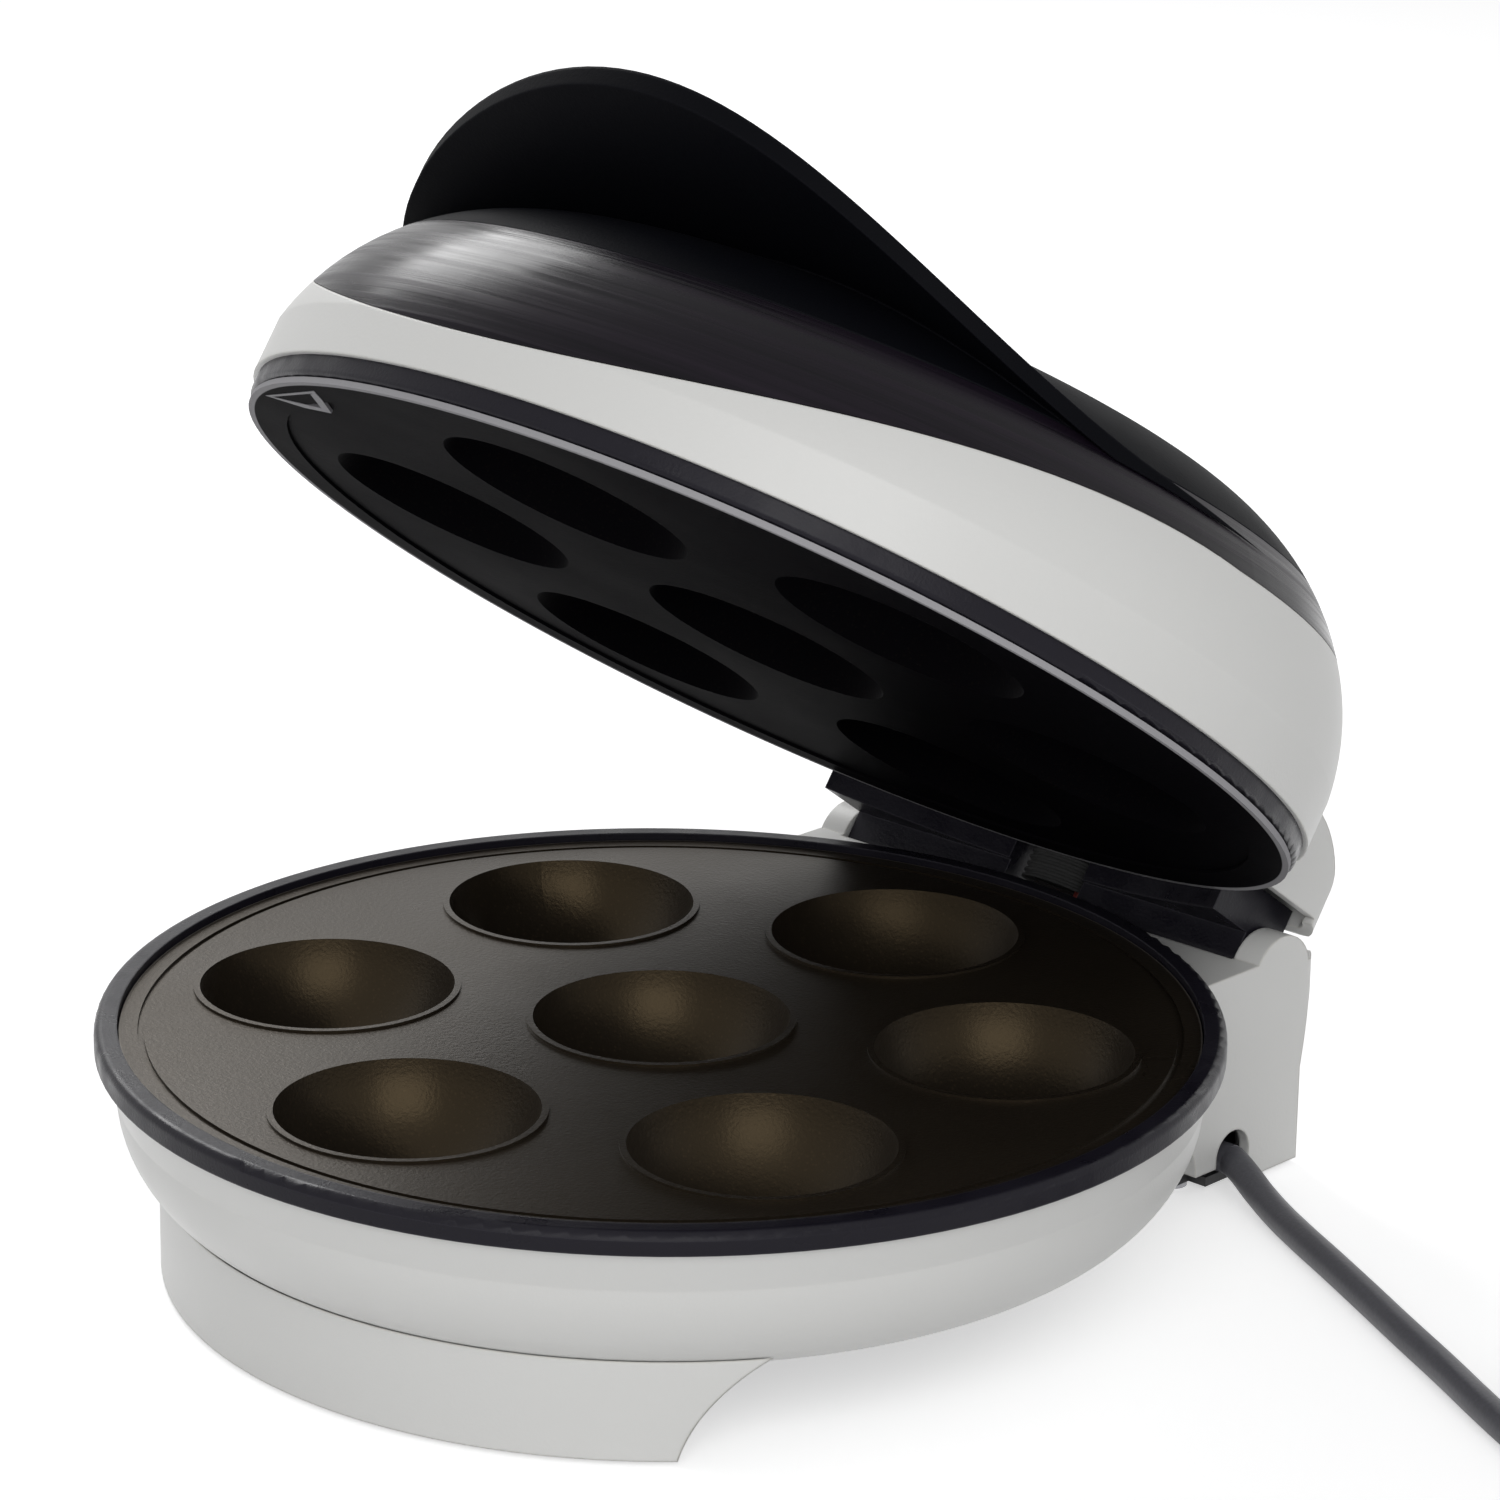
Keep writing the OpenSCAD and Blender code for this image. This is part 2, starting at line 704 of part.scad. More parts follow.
module cord_clamp() {
  color("#3a3a3c") at_base() difference() {
    block([clamp_x - clamp_w / 2, clamp_x + clamp_w / 2], [notch_y - clamp_half, notch_y + clamp_half],
          [cord_z + fit, clamp_top_z]);
    translate([0, notch_y, cord_z]) rotate([0, 90, 0]) cylinder(r = cord_r + 0.05, h = tower_x);
    for (s = [-1, 1]) translate([clamp_x, notch_y + s * 5.6, 0]) rod(hole_r, cord_z - over, clamp_top_z + over);
  }
}

module clamp_screws() {
  color("#8c8e91") at_base() for (s = [-1, 1]) translate([clamp_x, notch_y + s * 5.6, 0])
    screw(clamp_top_z, clamp_top_z - cover_z - 1, -1);
}

module base_screws() {
  color("#8c8e91") at_base() stations(4, hatch_station_r, 45) screw(bowl_z - cover_t, 9);
}

module tower_screws() {
  color("#8c8e91") at_base() tower_boss_places() screw(cover_z, 10, 1, low_head_h);
}

module foot_screws() {
  color("#8c8e91") at_base() foot_screw_places() screw(foot_z + 10, bowl_z + 7.5 - foot_z - 10);
}

module trim_screws() {
  color("#8c8e91") at_base() stations(3, rim_station_r, 60) screw(yoke_z, 7);
}

module lower_plate_screws() {
  color("#8c8e91") at_base() stations(3, rim_station_r, 0) screw(yoke_z, 6.5);
}

module lower_reflector_screws() {
  color("#8c8e91") at_base() stations(3, post_station_r, 0) screw(lower_pan_z - sheet_t, 7);
}

// lid
module dome_section(inset) {
  polygon([
    [0, -20], [shoulder_x + shoulder_r - inset, -20], [shoulder_x + shoulder_r - inset, shoulder_z],
    [shoulder_x, shoulder_z], [shoulder_x, dome_h - inset], [0, dome_h - inset]
  ]);
  intersection() {
    translate([shoulder_x, shoulder_z]) circle(shoulder_r - inset, $fn = 128);
    translate([shoulder_x, shoulder_z]) square(shoulder_r);
  }
}

module dome_solid(inset) {
  intersection() {
    tilted() rotate_extrude($fn = 128) dome_section(inset);
    translate([0, 0, -5]) cylinder(r = lid_r - inset, h = dome_h + 20, $fn = 128);
  }
}

// everything under the line between the white shell and the black cap
module below_band(rise) {
  along_x(2 * lid_r + 20) {
    translate([band_y, band_h - band_r]) circle(band_r + rise, $fn = 256);
    polygon([
      [band_y - 20, -20], [band_y - 20, band_h + rise - 20 * band_slope],
      [lid_r + 40, band_h + rise + band_slope * (lid_r + 40 - band_y)], [lid_r + 40, -20]
    ]);
  }
}

module above_band() {
  difference() {
    block([-lid_r - 5, lid_r + 5], [-lid_r - 5, lid_r + 30], [0, dome_h + 20]);
    below_band(0);
  }
}

module heel_side(inset) {
  difference() {
    union() {
      translate([heel_y, heel_z]) circle(heel_r - inset);
      translate([heel_y - 50, heel_z - heel_r]) square([50, 2 * heel_r - inset]);
      translate([heel_y - 50, heel_z - heel_r]) square([50 + heel_r - inset, heel_r]);
    }
    if (inset == 0) {
      translate([0, -60]) square([hinge_y + 2, 60 + heel_side_z]);
      translate([0, -60]) square([2 * hinge_y, 60 + heel_rear_z]);
    }
  }
}

module heel_solid(inset) {
  intersection() {
    along_x(tower_w - 2 * inset) heel_side(inset);
    translate([0, 0, -40]) linear_extrude(90)
      rounded_plan(tower_x - inset, 0, heel_y + heel_r - inset, corner_r - inset);
  }
}

module lid_shell() {
  color("#e6e6e3") at_lid() difference() {
    union() {
      intersection() {
        dome_solid(0);
        translate([0, 0, shell_z]) cylinder(r = lid_r + 5, h = dome_h);
      }
      heel_solid(0);
    }
    dome_solid(wall);
    heel_solid(wall);
    above_band();
    hinge_rod(knuckle_r + 0.4, -tower_x - over, tower_x + over);
    translate([0, 0, -over]) cylinder(r = frame_r + gap, h = shell_z + over, $fn = 128);
  }
}

module cap_post_places() {
  stations(3, rim_station_r, 60) children();
}

module lid_cap() {
  color("#1a171d") at_lid() difference() {
    union() {
      // glossy shoulder, and a root where it stands on the white shell
      difference() {
        dome_solid(0);
        dome_solid(wall);
        below_band(0.15);
        tilted() rod(crown_r, 0, dome_h + 5);
      }
      intersection() {
        difference() {
          dome_solid(over);
          dome_solid(wall + collar_gap + collar_t);
        }
        below_band(4);
        difference() {
          dome_solid(0);
          below_band(0.15);
        }
      }
      // collar inside the white shell
      intersection() {
        difference() {
          dome_solid(wall + collar_gap);
          dome_solid(wall + collar_gap + collar_t);
        }
        difference() {
          below_band(3);
          below_band(-collar_h);
        }
      }
      // flange that the handle is screwed to
      tilted() tube(crown_r + 2.5, crown_r - 10, cap_flange_z, cap_flange_z + cap_flange_t);
      // posts down to the frame, held by the collar and the flange
      intersection() {
        dome_solid(wall + collar_gap);
        cap_post_places() rod(boss_r, tab_z + tab_t, dome_h);
      }
    }
    cap_post_places() rod(bore_r, tab_z, tab_z + tab_t + 6.5);
    tilted() stations(4, cap_station_r, 45) rod(hole_r, cap_flange_z - over, cap_flange_z + cap_flange_t + over);
  }
}

// the visor: a thin sheet that curves up to the front and sinks a little to the sides
module visor_profile(r) {
  difference() {
    translate([visor_bend_r + visor_cross_r, 0]) circle(visor_cross_r, $fn = 360);
    translate([visor_bend_r + visor_cross_r, 0]) circle(visor_cross_r - visor_t, $fn = 360);
    translate([r, -2 * visor_cross_r]) square([3 * visor_cross_r, 4 * visor_cross_r]);
  }
}

module visor() {
  profile_end = visor_bend_r + 40;
  difference() {
    intersection() {
      union() {
        intersection() {
          translate([0, visor_y, visor_z]) rotate([0, 90, 0]) rotate_extrude($fn = 180) visor_profile(profile_end);
          block([-lid_r, lid_r], [-lid_r, visor_y], [0, visor_z]);
        }
        translate([0, visor_end_y, visor_z]) rotate([90, 90, 0])
          linear_extrude(visor_end_y - visor_y) visor_profile(profile_end);
      }
      translate([0, 0, 20]) cylinder(r = visor_r, h = 80, $fn = 128);
    }
    dome_solid(1.2);
    // the sheet stands clear of the glossy shoulder
    difference() {
      dome_solid(-0.25);
      tilted() rod(crown_r - gap, 0, dome_h + 5);
    }
  }
}

module lamp_places() {
  for (s = [-1, 1]) translate([s * 12, 55, 0]) children();
}

module lid_handle() {
  color("#141317") at_lid() difference() {
    union() {
      intersection() {
        difference() {
          dome_solid(0);
          dome_solid(wall);
        }
        tilted() rod(crown_r - gap, 0, dome_h + 5);
      }
      visor();
      intersection() {
        dome_solid(over);
        tilted() stations(4, cap_station_r, 45) rod(boss_r, cap_flange_z + cap_flange_t + fit, dome_h);
      }
    }
    tilted() stations(4, cap_station_r, 45) rod(bore_r, cap_flange_z, cap_flange_z + cap_flange_t + 4);
    tilted() lamp_places() rod(4.1, dome_h - 8, dome_h + over);
  }
}

// black ring under the lid, with the hinge barrels
module lid_frame() {
  round_r = 1.2;
  color("#17161a") at_lid() difference() {
    union() {
      rotate_extrude($fn = 128) {
        polygon([
          [trim_in_r, frame_z], [frame_r - round_r, frame_z], [frame_r - round_r, frame_z + round_r],
          [frame_r, frame_z + round_r], [frame_r, shell_z], [trim_in_r, shell_z]
        ]);
        translate([frame_r - round_r, frame_z + round_r]) circle(round_r, $fn = 32);
        translate([lid_r - 5.5, shell_z - over]) square([2.3, locating_h + over]);
      }
      for (s = [-1, 1]) {
        x0 = s > 0 ? barrel_in_x : -barrel_out_x;
        x1 = s > 0 ? barrel_out_x : -barrel_in_x;
        hinge_rod(barrel_r, x0, x1);
        block([x0, x1], [bar_front_y, bar_rear_y], [hinge_z, shell_z - 0.2]);
        difference() {
          block([x0, x1], [rim_r - 20, bar_front_y + over], [deck_z + 0.6, shell_z - 0.2]);
          translate([0, 0, deck_z]) cylinder(r = rim_r + 0.7, h = frame_z - deck_z, $fn = 128);
          translate([0, 0, deck_z]) cylinder(r = trim_in_r, h = 20, $fn = 128);
        }
      }
      stations(6, rim_station_r, 0) {
        block([4.2, 7.6], [-6, 6], [shell_z - 1.7, tab_z + tab_t]);
        block([-3.5, 7.6], [-6, 6], [tab_z, tab_z + tab_t]);
      }
    }
    for (s = [-1, 1]) hinge_rod(pin_r + pin_clearance, s > 0 ? pin_in_x - over : -trough_x, s > 0 ? trough_x : over - pin_in_x);
    stations(6, rim_station_r, 0) rod(hole_r, tab_z - over, tab_z + tab_t + over);
  }
}

module upper_plate() {
  color("#2b2320") at_lid() difference() {
    union() {
      translate([0, 0, upper_land_z]) cylinder(r = plate_r, h = plate_t, $fn = 128);
      tube(flange_r, plate_r - 3, flange_z, flange_z + flange_t);
      at_cavities() intersection() {
        translate([0, 0, upper_cup_z]) sphere(r = upper_cup_r + 2);
        rod(cavity_r + 5, upper_land_z, upper_land_z + upper_depth + 5);
      }
      stations(3, rim_station_r, 0) rod(boss_r, upper_land_z + 0.4, tab_z - fit);
      stations(3, post_station_r, 0) rod(boss_r, upper_land_z + 0.4, upper_pan_z);
    }
    at_cavities() translate([0, 0, upper_cup_z]) sphere(r = upper_cup_r);
    stations(3, rim_station_r, 0) rod(bore_r, upper_back_z + 1.2, tab_z + over);
    stations(3, post_station_r, 0) rod(bore_r, upper_pan_z - 8, upper_pan_z + over);
  }
}

module upper_heater() {
  color("#6d6a66") at_lid() heater(upper_heater_z, upper_reach);
}

module upper_reflector() {
  color("#c2c2c0") at_lid() reflector(upper_pan_z, upper_back_z + fit);
}

module upper_fuse() {
  color("#b9a77a") at_lid() fuse(upper_back_z + 1.8 + fit);
}

module upper_plate_screws() {
  color("#8c8e91") at_lid() stations(3, rim_station_r, 0) screw(tab_z + tab_t, 6.5, -1);
}

module cap_screws() {
  color("#8c8e91") at_lid() cap_post_places() screw(tab_z, 8);
}

module handle_screws() {
  color("#8c8e91") at_lid() tilted() stations(4, cap_station_r, 45) screw(cap_flange_z, cap_flange_t + 3.5);
}

module upper_reflector_screws() {
  color("#8c8e91") at_lid() stations(3, post_station_r, 0) screw(upper_pan_z + sheet_t, 7, -1);
}

module lens(x) {
  at_lid() tilted() translate([x, 55, 0]) {
    rod(3.9, dome_h - 5, dome_h + 0.5);
    intersection() {
      translate([0, 0, dome_h + 0.5 - 7]) sphere(r = 8.02, $fn = 64);
      rod(3.9, dome_h, dome_h + 4);
    }
  }
}

module power_lens() {
  color("#b3261e") lens(-12);
}

module ready_lens() {
  color("#2f8f3a") lens(12);
}

module lamp_holder() {
  color("#d9d6cc") at_lid() tilted() {
    block([-26, 26], [49, 61], [dome_h - 8, dome_h - 5]);
    for (s = [-1, 1]) translate([s * 22, 55, 0]) rod(2.5, dome_h - 6, dome_h - wall);
  }
}

module lid_lead() {
  terminal_x = heater_r * sin(terminal_a);
  terminal_y = heater_r * cos(terminal_a);
  run_z = upper_reach + 2;
  color("#a33b2c") at_lid() {
    sweep([[0, hinge_y, hinge_z], [5, hinge_y, hinge_z], [5, hinge_y, 10.5], [5, hinge_y - 11, 17.5],
              [5, hinge_y - 21, run_z], [5, terminal_y + 10, run_z], [terminal_x, terminal_y, run_z],
              [terminal_x, terminal_y, upper_reach]], lead_r, wire_sides);
    sweep([[5, terminal_y + 10, run_z], [-terminal_x, terminal_y, run_z],
              [-terminal_x, terminal_y, upper_reach]], wire_r, wire_sides);
  }
}

// cord
module power_cord() {
  color("#18181a") sweep(cord_route, cord_r, cord_sides);
}

module cord_coil() {
  color("#18181a") translate([coil_center[0], coil_center[1], coil_lift]) rotate_extrude() {
    for (s = [-1, 1]) translate([coil_mean_r + s * cord_r, cord_r]) circle(cord_r, $fn = 32);
    translate([coil_mean_r, cord_r * (1 + sqrt(3))]) circle(cord_r, $fn = 32);
    polygon([
      [coil_mean_r - cord_r, 0], [coil_mean_r + cord_r, 0],
      [coil_mean_r + cord_r * 1.87, cord_r * 1.5], [coil_mean_r + cord_r * 0.87, cord_r * (1.5 + sqrt(3))],
      [coil_mean_r - cord_r * 0.87, cord_r * (1.5 + sqrt(3))], [coil_mean_r - cord_r * 1.87, cord_r * 1.5]
    ]);
  }
}

module at_plug() {
  translate([coil_center[0] + coil_mean_r * cos(coil_end_a), coil_center[1] + coil_mean_r * sin(coil_end_a), plug_axis_z])
    rotate([0, 0, coil_end_a + 90]) children();
}

module plug_body() {
  color("#18181a") at_plug() {
    translate([plug_start, 0, 0]) rotate([0, 90, 0]) cylinder(r1 = cord_r + 0.6, r2 = cord_r + 3, h = relief_len + over);
    intersection() {
      block([plug_start + relief_len, plug_start + relief_len + plug_len], [-plug_w / 2, plug_w / 2], [-plug_h / 2, plug_h / 2]);
      translate([plug_start + relief_len - 8, 0, 0]) rotate([0, 90, 0]) cylinder(r = 17, h = plug_len + 8);
    }
  }
}

module plug_pins() {
  face = plug_start + relief_len + plug_len;
  color("#c9cacc") at_plug() {
    for (s = [-1, 1]) block([face, face + blade_len], [s * 6.35 - 0.75, s * 6.35 + 0.75], [-6.4, -0.1]);
    translate([face, 0, 6.2]) rotate([0, 90, 0]) cylinder(r = 2.4, h = blade_len + 2.5, $fn = 32);
  }
}

base_shell();
front_foot();
bottom_cover();
tower_cover();
rubber_feet();
lower_trim_ring();
lower_plate();
lower_heater();
lower_reflector();
thermostat();
thermal_fuse();
terminal_block();
base_leads();
hinge_pins();
inner_cord();
cord_clamp();
clamp_screws();
base_screws();
tower_screws();
foot_screws();
trim_screws();
lower_plate_screws();
lower_reflector_screws();
lid_shell();
lid_cap();
lid_handle();
lid_frame();
upper_plate();
upper_heater();
upper_reflector();
upper_fuse();
upper_plate_screws();
cap_screws();
handle_screws();
upper_reflector_screws();
power_lens();
ready_lens();
lamp_holder();
lid_lead();
power_cord();
cord_coil();
plug_body();
plug_pins();
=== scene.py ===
# %% [markdown]
# A cake pop maker stands open on a white table. Its solids come ready from the CAD model, in metres
# and already in place, so this lesson is about the camera, the light, the finishes and the small
# pieces that a CAD model leaves plain: the lead, its plug, a rubber boot and a tongue of thin sheet.

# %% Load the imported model
import json
import math

import bmesh
import bpy
from mathutils import Matrix, Quaternion, Vector


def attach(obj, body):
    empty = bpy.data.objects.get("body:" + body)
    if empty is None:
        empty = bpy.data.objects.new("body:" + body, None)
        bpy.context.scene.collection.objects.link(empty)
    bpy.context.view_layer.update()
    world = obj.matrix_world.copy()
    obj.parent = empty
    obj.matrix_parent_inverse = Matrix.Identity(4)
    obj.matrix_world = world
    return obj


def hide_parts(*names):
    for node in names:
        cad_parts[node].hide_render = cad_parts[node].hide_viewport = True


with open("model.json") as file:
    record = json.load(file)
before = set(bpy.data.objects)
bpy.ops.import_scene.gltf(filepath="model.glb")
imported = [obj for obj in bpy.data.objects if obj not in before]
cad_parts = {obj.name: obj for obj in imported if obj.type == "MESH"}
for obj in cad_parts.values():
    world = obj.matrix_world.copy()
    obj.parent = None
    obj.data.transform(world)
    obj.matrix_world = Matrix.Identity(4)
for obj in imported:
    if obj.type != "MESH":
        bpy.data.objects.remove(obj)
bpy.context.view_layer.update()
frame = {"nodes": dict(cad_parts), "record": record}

mm = 0.001
nodes = frame["nodes"]

# %% [markdown]
# The camera stands at the front right, a little above the table, far away behind a long lens: the
# two round rims then look like nearly parallel ellipses. A small roll levels the machine as it sits
# in the picture. The lens has no shift and no blur, so other views may reuse the same camera.

# %% Camera
camera_place = Vector((0.71609, -0.75452, 0.44535))
camera_aim = Vector((0.00028, 0.01121, 0.09900))
camera_roll = math.radians(0.809)
camera_data = bpy.data.cameras.new("camera")
camera_data.sensor_width = 36
camera_data.lens = 135.86
camera = bpy.data.objects.new("camera", camera_data)
bpy.context.collection.objects.link(camera)
camera.location = camera_place
camera.rotation_mode = "QUATERNION"
look = (camera_aim - camera_place).to_track_quat("-Z", "Y")
camera.rotation_quaternion = look @ Quaternion((0, 0, 1), camera_roll)
bpy.context.scene.camera = camera
print("camera", [round(v, 3) for v in camera.location])

# %% [markdown]
# The lead is a round rubber flex. It leaves the notch in the tower, drops to the table, runs to the
# right and is wound there into a neat coil of two turns and a half. One open spline is its centre
# line: the straight run as listed points, the turns by a loop. Every turn lies a diameter from the
# last, and where the top turn crosses the step between the two lower ones it rises in a low hump. The
# bevel is one metre and each knot's radius brings it down to the lead's, so that the curve's box stays
# tight.

# %% The lead's straight run
lead_mm = 6.3
lead_d = lead_mm * mm
straight_mm = [
    (60, 92.6, 6.5), (65, 90, 6), (72, 86.4, 4.6), (80, 82.4, 3.5), (90, 77.2, 3.2),
    (102, 71, 3.2), (116, 63.6, 3.2), (132, 55, 3.2), (148, 46.6, 3.2), (163, 38.4, 3.2),
    (175, 32.2, 3.2),
]
coil_middle_mm = Vector((205, 60))
outer_r, inner_r, top_r, table_z = 37.8, 31.5, 34.65, 3.2
nested_angle = math.radians(60)
top_z = table_z + lead_mm * math.sin(nested_angle)
coil_from, coil_step, coil_count = -115, 15, 60
step_from, step_to, rise_from = 135, 245, 405


def eased(t):
    """0 to 1 with soft ends."""
    t = min(max(t, 0), 1)
    return t * t * (3 - 2 * t)


# %% The coil's turns
def lower_radius(angle):
    """Radius of the turns on the table: the outer one, then the inner one."""
    return outer_r + (inner_r - outer_r) * eased((angle - step_from) / (step_to - step_from))


def coil_point(angle):
    """Point of the coil's centre line at an angle that runs on from turn to turn."""
    over_step = 360 + step_from
    if angle < rise_from:
        r, z = lower_radius(angle), table_z
    elif angle < over_step:
        lift = nested_angle * eased((angle - rise_from) / (over_step - rise_from))
        r, z = outer_r - lead_mm * math.cos(lift), table_z + lead_mm * math.sin(lift)
    elif angle < 360 + step_to:
        r, z = top_r, table_z + math.sqrt(lead_mm ** 2 - (top_r - lower_radius(angle - 360)) ** 2)
    else:
        r, z = top_r, top_z
    a = math.radians(angle)
    return (coil_middle_mm.x + r * math.cos(a), coil_middle_mm.y + r * math.sin(a), z)


coil_mm = [coil_point(coil_from + coil_step * i) for i in range(coil_count)]
print("coil points", len(coil_mm), "top", round(max(p[2] for p in coil_mm), 2), "mm")

# %% The lead's end in its plug
plug_angle = math.radians(50)
plug_turn = plug_angle + math.pi / 2
plug_axis_z = 11.5
plug_base = Vector((coil_middle_mm.x + top_r * math.cos(plug_angle),
                    coil_middle_mm.y + top_r * math.sin(plug_angle), plug_axis_z)) * mm
plug_way = Vector((math.cos(plug_turn), math.sin(plug_turn), 0))
plug_frame = Matrix.Translation(plug_base) @ Matrix.Rotation(plug_turn, 4, "Z")
tail_mm = [tuple((plug_base / mm + plug_way * along) + Vector((0, 0, drop)))
           for along, drop in ((9, -0.9), (16, 0), (24, 0))]

lead_points = [Vector(p) * mm for p in straight_mm + coil_mm + tail_mm]
lead_curve = bpy.data.curves.new("lead", "CURVE")
lead_curve.dimensions = "3D"
lead_curve.bevel_depth = 1
lead_curve.bevel_resolution = 5
lead_curve.resolution_u = 6
lead_curve.use_fill_caps = True
spline = lead_curve.splines.new("BEZIER")
spline.bezier_points.add(len(lead_points) - 1)
for knot, point in zip(spline.bezier_points, lead_points):
    knot.co = point
    knot.radius = lead_d / 2
    knot.handle_left_type = knot.handle_right_type = "AUTO"
lead = bpy.data.objects.new("mains_lead", lead_curve)
bpy.context.collection.objects.link(lead)
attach(lead, "base")
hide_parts("power_cord", "cord_coil")
print("lead points", len(lead_points))


# %% [markdown]
# Small turned pieces all start the same way: a profile of a few points, spun once round its axis.
# One helper makes them, another one turns a finished bmesh into an object whose place is in its mesh.

# %% Helpers for new pieces
def as_object(mesh_work, name, body, frame_of, smooth=45):
    """Finishes a bmesh: one object at the origin, with its place in its vertices."""
    bmesh.ops.remove_doubles(mesh_work, verts=mesh_work.verts, dist=1e-6)
    bmesh.ops.recalc_face_normals(mesh_work, faces=mesh_work.faces)
    bmesh.ops.transform(mesh_work, matrix=frame_of, verts=mesh_work.verts)
    for face in mesh_work.faces:
        face.smooth = True
    for edge in mesh_work.edges:
        edge.smooth = len(edge.link_faces) == 2 and edge.calc_face_angle(0) < math.radians(smooth)
    mesh = bpy.data.meshes.new(name)
    mesh_work.to_mesh(mesh)
    mesh_work.free()
    piece = bpy.data.objects.new(name, mesh)
    bpy.context.collection.objects.link(piece)
    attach(piece, body)
    return piece


def spin_profile(mesh_work, profile, steps, matrix):
    """Spins (radius, height) points round Z, then places them; ends lie on the axis."""
    line = [mesh_work.verts.new((r, 0, z)) for r, z in profile]
    edges = [mesh_work.edges.new(pair) for pair in zip(line, line[1:])]
    bmesh.ops.spin(mesh_work, geom=line + edges, cent=(0, 0, 0), axis=(0, 0, 1), dvec=(0, 0, 0),
                   angle=2 * math.pi, steps=steps, use_merge=True, use_duplicate=False)
    new = [v for v in mesh_work.verts if not v.tag]
    bmesh.ops.transform(mesh_work, matrix=matrix, verts=new)
    for v in mesh_work.verts:
        v.tag = True


# %% [markdown]
# The plug is moulded on the lead. A ribbed sleeve tapers towards the lead so that it can't kink, and
# the body has a waist for the fingers. The body is a bevelled block with a few cuts across it, and
# each cut's ring is drawn in; the sleeve is spun from a stepped profile.

# %% Plug body and sleeve
body_end_mm = 36
body_from, body_long, body_wide, body_high = 40 * mm, body_end_mm * mm, 30 * mm, 22.6 * mm
work = bmesh.new()
bmesh.ops.create_cube(work, size=1, matrix=Matrix.Translation((body_from + body_long / 2, 0, 0))
                      @ Matrix.Diagonal((body_long, body_wide, body_high, 1)))
long_edges = [e for e in work.edges if abs(e.verts[0].co.x - e.verts[1].co.x) > body_long / 2]
bmesh.ops.bevel(work, geom=long_edges, offset=7 * mm, offset_type="OFFSET", segments=6, profile=0.5,
                affect="EDGES", material=-1)
waist = [(3, 0.60), (6, 0.76), (10, 0.86), (16, 0.87), (20, 0.90), (25, 0.97),
         (30, 1.0), (34.5, 1.0)]
for at, _ in waist:
    bmesh.ops.bisect_plane(work, geom=work.verts[:] + work.edges[:] + work.faces[:],
                           plane_co=(body_from + at * mm, 0, 0), plane_no=(1, 0, 0))
draw_in = {0: 0.44, body_end_mm: 0.955, **dict(waist)}
for v in work.verts:
    share = draw_in[min(draw_in, key=lambda at: abs(body_from + at * mm - v.co.x))]
    v.co.y *= share
    v.co.z *= share
plug_mould = as_object(work, "plug_mould", "base", plug_frame, smooth=40)
print("plug body faces", len(plug_mould.data.polygons))

work = bmesh.new()
sleeve = [(0, 14), (3.5, 14), (3.75, 14.4)]
for rib in range(6):
    start, radius = 16 + rib * 3.9, 3.85 + rib * 0.38
    sleeve += [(radius, start), (radius, start + 2.2),
               (radius - 0.75, start + 2.5), (radius - 0.6, start + 3.6)]
sleeve += [(6.1, 40.4), (6.1, 41), (0, 41)]
spin_profile(work, [(r * mm, z * mm) for r, z in sleeve], 40, Matrix.Rotation(math.pi / 2, 4, "Y"))
plug_sleeve = as_object(work, "plug_sleeve", "base", plug_frame)
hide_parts("plug_body")
print("sleeve faces", len(plug_sleeve.data.polygons))

# %% Plug blades and earth pin
blade_middle_x, blade_aside, blade_down, pin_up = 85 * mm, 6.35 * mm, 3.25 * mm, 6.2 * mm
blade_size = Matrix.Diagonal((18 * mm, 1.5 * mm, 6.3 * mm, 1))
work = bmesh.new()
for side in (-1, 1):
    blade_place = Matrix.Translation((blade_middle_x, side * blade_aside, -blade_down))
    blade = bmesh.ops.create_cube(work, size=1, matrix=blade_place @ blade_size)["verts"]
    tip = [e for e in work.edges if all(v in blade and v.co.x > 90 * mm for v in e.verts)]
    bmesh.ops.bevel(work, geom=tip, offset=0.6 * mm, offset_type="OFFSET", segments=2, profile=0.5,
                    affect="EDGES", material=-1)
for v in work.verts:
    v.tag = True
earth_pin = [(0, 75.9), (2.4, 75.9), (2.4, 94), (1.9, 95.6), (1.0, 96.4), (0, 96.5)]
spin_profile(work, [(r * mm, z * mm) for r, z in earth_pin], 24,
             Matrix.Translation((0, 0, pin_up)) @ Matrix.Rotation(math.pi / 2, 4, "Y"))
plug_blades = as_object(work, "plug_blades", "base", plug_frame)
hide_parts("plug_pins")
print("blade faces", len(plug_blades.data.polygons))

# %% [markdown]
# At the front left of the lid a small bare tongue of sheet looks out under the ring, a pointed tab
# with a slot, by which the upper plate is hooked in. It is a flat triangle made thick, and the slot
# is an inset face pushed through, all drawn in the closed lid's plane and then turned open.

# %% Tongue of the upper plate
lid_open = math.radians(35.8)
dome_tilt = math.radians(4)
hinge = Vector((0, 0.106354, 0.0423))
lid_turn = Matrix.Translation(hinge) @ Matrix.Rotation(-lid_open, 4, "X") @ Matrix.Translation(-hinge)
rim_middle = Vector((0, -0.0126458, 0.051))
plate_frame = lid_turn @ Matrix.Translation(rim_middle)
dome_frame = plate_frame @ Matrix.Rotation(dome_tilt, 4, "X")
tongue_z, tongue_edge, tongue_sheet = 0.5 * mm, 2.2 * mm, 0.65 * mm
tongue_mm = [(-66.0, -86.0), (-41.0, -98.8), (-42.6, -94.8), (-47.3, -86.2), (-56.0, -84.9)]
work = bmesh.new()
tongue_face = work.faces.new([work.verts.new((x * mm, y * mm, tongue_z)) for x, y in tongue_mm])
tongue_face.normal_update()
